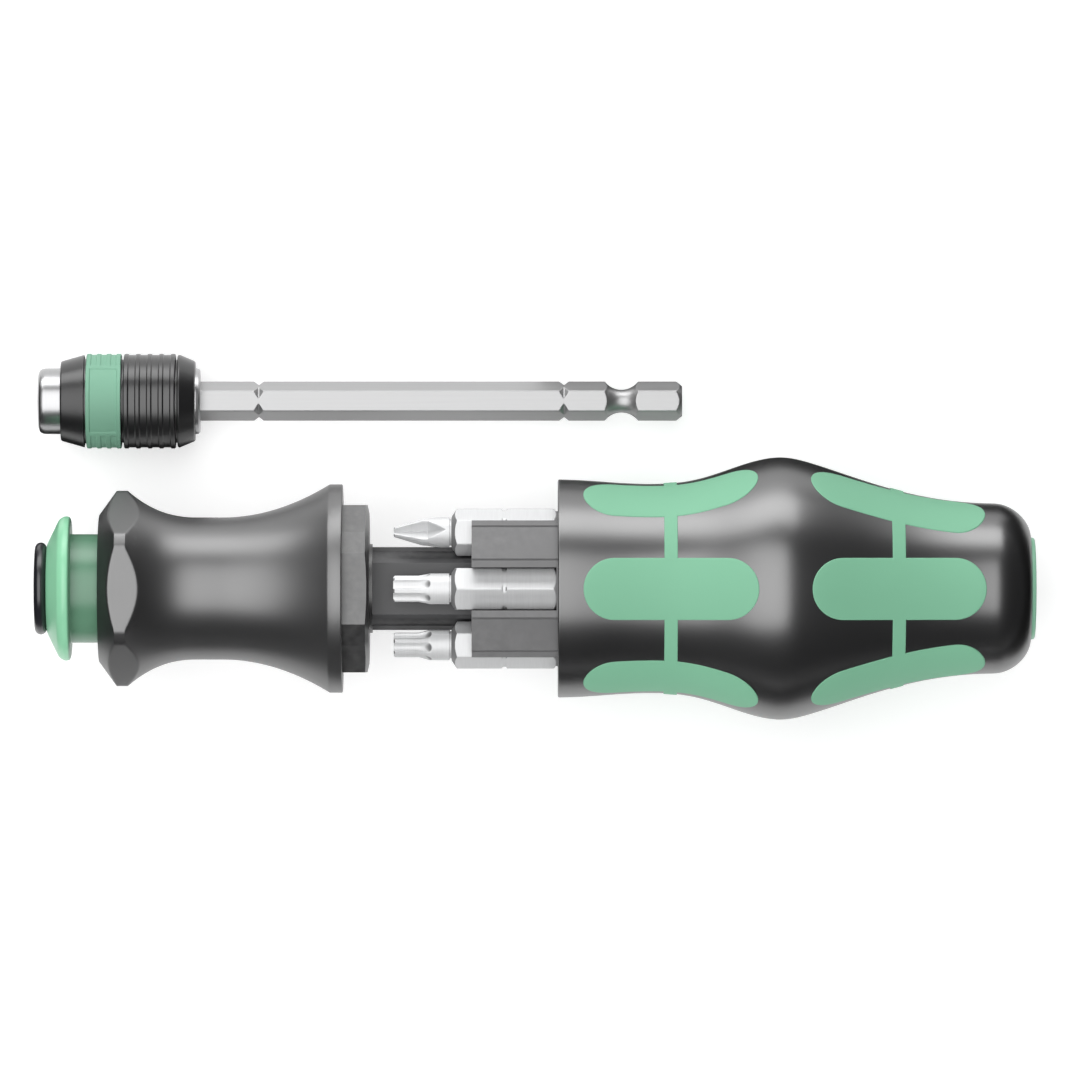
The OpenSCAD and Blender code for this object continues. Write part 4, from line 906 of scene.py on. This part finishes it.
def makeLatchSpring(radius=0.7, wire=0.3, topY=-6.6, bottomY=-10.9, middleX=147.2, turns=4):
    # The same coil, stood on end: its own length runs along -Y
    points, faces = coilShell(radius, wire, 0, topY - bottomY, turns)
    stood = np.stack([middleX + points[:, 1], topY - points[:, 0], points[:, 2]], -1)
    newPiece("latchSpring", [(stood, faces)], finish["springSteel"], "handle", ["latch_spring"])
    pressSpring("latchSpring")


makeLatchSpring()

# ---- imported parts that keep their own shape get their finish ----

kept = {
    "innerBlack": ["guide_plate", "latch_frame"], "keyBlack": ["key_flange", "stem_washer"],
    "stemGrey": ["stem"], "magazineGrey": ["bit_holder"], "barrelSteel": ["chuck_washer"],
    "innerSteel": ["latch_plate", "latch_rod", "stop_head", "socket_tube", "lock_ball_upper", "lock_ball_lower",
                   "sleeve_clip", "chuck_ball_upper", "chuck_ball_lower", "magnet_cup"],
    "magnetNickel": ["magnet"],
}
for name, nodeNames in kept.items():
    for nodeName in nodeNames:
        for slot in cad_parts[nodeName].material_slots:
            slot.material = finish[name]
print("springs and kept parts done")


# ---- stage: white floor, camera and lamps ----

stage = {"floorZ": -20.25, "floorSize": 3.0, "floorLit": 0.68, "floorGlow": 0.48, "lens": 400, "viewWidth": 164.8,
         "viewX": 77.0, "viewY": 8.24, "sensor": 36,
         "horizon": (0.07, 0.07, 0.071, 1), "overhead": (0.05, 0.05, 0.051, 1)}


def flatSheet(name, near, far, low, high, z, material):
    mesh = bpy.data.meshes.new(name)
    mesh.from_pydata([(near, low, z), (far, low, z), (far, high, z), (near, high, z)], [], [(0, 1, 2, 3)])
    mesh.materials.append(material)
    sheet = bpy.data.objects.new(name, mesh)
    scene.collection.objects.link(sheet)
    return sheet


def makeFloor():
    # A plain sheet; its own faint glow, seen by camera, glossy and transmission rays, lifts the lit floor to white
    material = bpy.data.materials.new("floorWhite")
    material.use_nodes = True
    tree = material.node_tree
    principled = tree.nodes["Principled BSDF"]
    principled.inputs["Base Color"].default_value = (stage["floorLit"],) * 3 + (1,)
    principled.inputs["Roughness"].default_value = 0.9
    principled.inputs["Specular IOR Level"].default_value = 0.0
    glow = node(tree, "ShaderNodeEmission")
    glow.inputs["Strength"].default_value = stage["floorGlow"]
    path = node(tree, "ShaderNodeLightPath")
    seen = maths(tree, "MAXIMUM", path.outputs["Is Camera Ray"], path.outputs["Is Glossy Ray"])
    seen = maths(tree, "MAXIMUM", seen, path.outputs["Is Transmission Ray"])
    dark = node(tree, "ShaderNodeEmission")
    dark.inputs["Strength"].default_value = 0
    pick = node(tree, "ShaderNodeMixShader")
    link(tree, seen, pick.inputs[0])
    link(tree, dark.outputs[0], pick.inputs[1])
    link(tree, glow.outputs[0], pick.inputs[2])
    both = node(tree, "ShaderNodeAddShader")
    link(tree, principled.outputs[0], both.inputs[0])
    link(tree, pick.outputs[0], both.inputs[1])
    link(tree, both.outputs[0], tree.nodes["Material Output"].inputs["Surface"])
    half = stage["floorSize"] / 2
    floor = flatSheet("floor", -half, half, -half, half, stage["floorZ"] * mm, material)


def makeWorld():
    # A studio room: pale near the horizon, dark overhead
    world = bpy.data.worlds.new("studio")
    scene.world = world
    world.use_nodes = True
    tree = world.node_tree
    background = tree.nodes["Background"]
    split = node(tree, "ShaderNodeSeparateXYZ")
    link(tree, node(tree, "ShaderNodeTexCoord").outputs["Generated"], split.inputs[0])
    rise = mappedRange(tree, split.outputs[2], 0.0, 0.16)
    link(tree, mixedColour(tree, rise, stage["horizon"], stage["overhead"]), background.inputs["Color"])


lamps = {
    # name: angle from upright towards +Y, angle towards -X, distance, length along X, width, power
    "topBox": (2, 14, 1.0, 1.05, 1.5, 14.3),
    "sideBox": (75, 8, 0.9, 1.1, 0.52, 7.6),
    "lowFill": (-75, 0, 0.9, 1.2, 0.5, 4.4),
}


flags = {
    # name: near and far end along X, low and high end along Y, in metres
    "flagFront": (-0.02, -0.9, -0.5, 0.5), "flagRear": (0.172, 1.05, -0.5, 0.5),
    "flagLow": (-0.02, 0.172, -0.4, -0.06), "flagShell": (0.078, 0.172, 0.022, 0.05),
    "flagGap": (-0.02, 0.026, 0.010, 0.023),
}


def makeFlags():
    # Dark cards round the tool, met by mirrored rays alone, keep its end faces and edges dark
    material = bpy.data.materials.new("flagBlack")
    material.use_nodes = True
    principled = material.node_tree.nodes["Principled BSDF"]
    principled.inputs["Base Color"].default_value = (0.01, 0.01, 0.01, 1)
    principled.inputs["Specular IOR Level"].default_value = 0.0
    z = (stage["floorZ"] + 0.5) * mm
    for name, ends in flags.items():
        flag = flatSheet(name, *ends, z, material)
        flag.visible_camera = flag.visible_diffuse = flag.visible_shadow = flag.visible_transmission = False


def makeLamps():
    target = Vector((stage["viewX"] * mm, 0.005, 0))
    for name, (sideways, backwards, distance, length, width, power) in lamps.items():
        data = bpy.data.lights.new(name, "AREA")
        data.shape = "RECTANGLE"
        data.size, data.size_y, data.energy = length, width, power
        lamp = bpy.data.objects.new(name, data)
        turn = Euler((math.radians(-sideways), math.radians(-backwards), 0), "YXZ").to_matrix()
        lamp.rotation_euler = turn.to_euler()
        lamp.location = target + turn @ Vector((0, 0, distance))
        lamp.visible_camera = False
        lamp.visible_glossy = name != "lowFill"     # lifts the lower side without a second highlight
        scene.collection.objects.link(lamp)


def makeCamera():
    data = bpy.data.cameras.new("camera")
    data.lens = stage["lens"]
    data.sensor_width = stage["sensor"]
    data.clip_start, data.clip_end = 0.01, 20
    camera = bpy.data.objects.new("camera", data)
    distance = stage["viewWidth"] * mm * stage["lens"] / stage["sensor"]
    camera.location = (stage["viewX"] * mm, stage["viewY"] * mm, distance)
    scene.collection.objects.link(camera)
    scene.camera = camera


makeFloor()
makeFlags()
makeWorld()
makeLamps()
makeCamera()
scene.view_settings.view_transform = "Standard"
print("stage done")
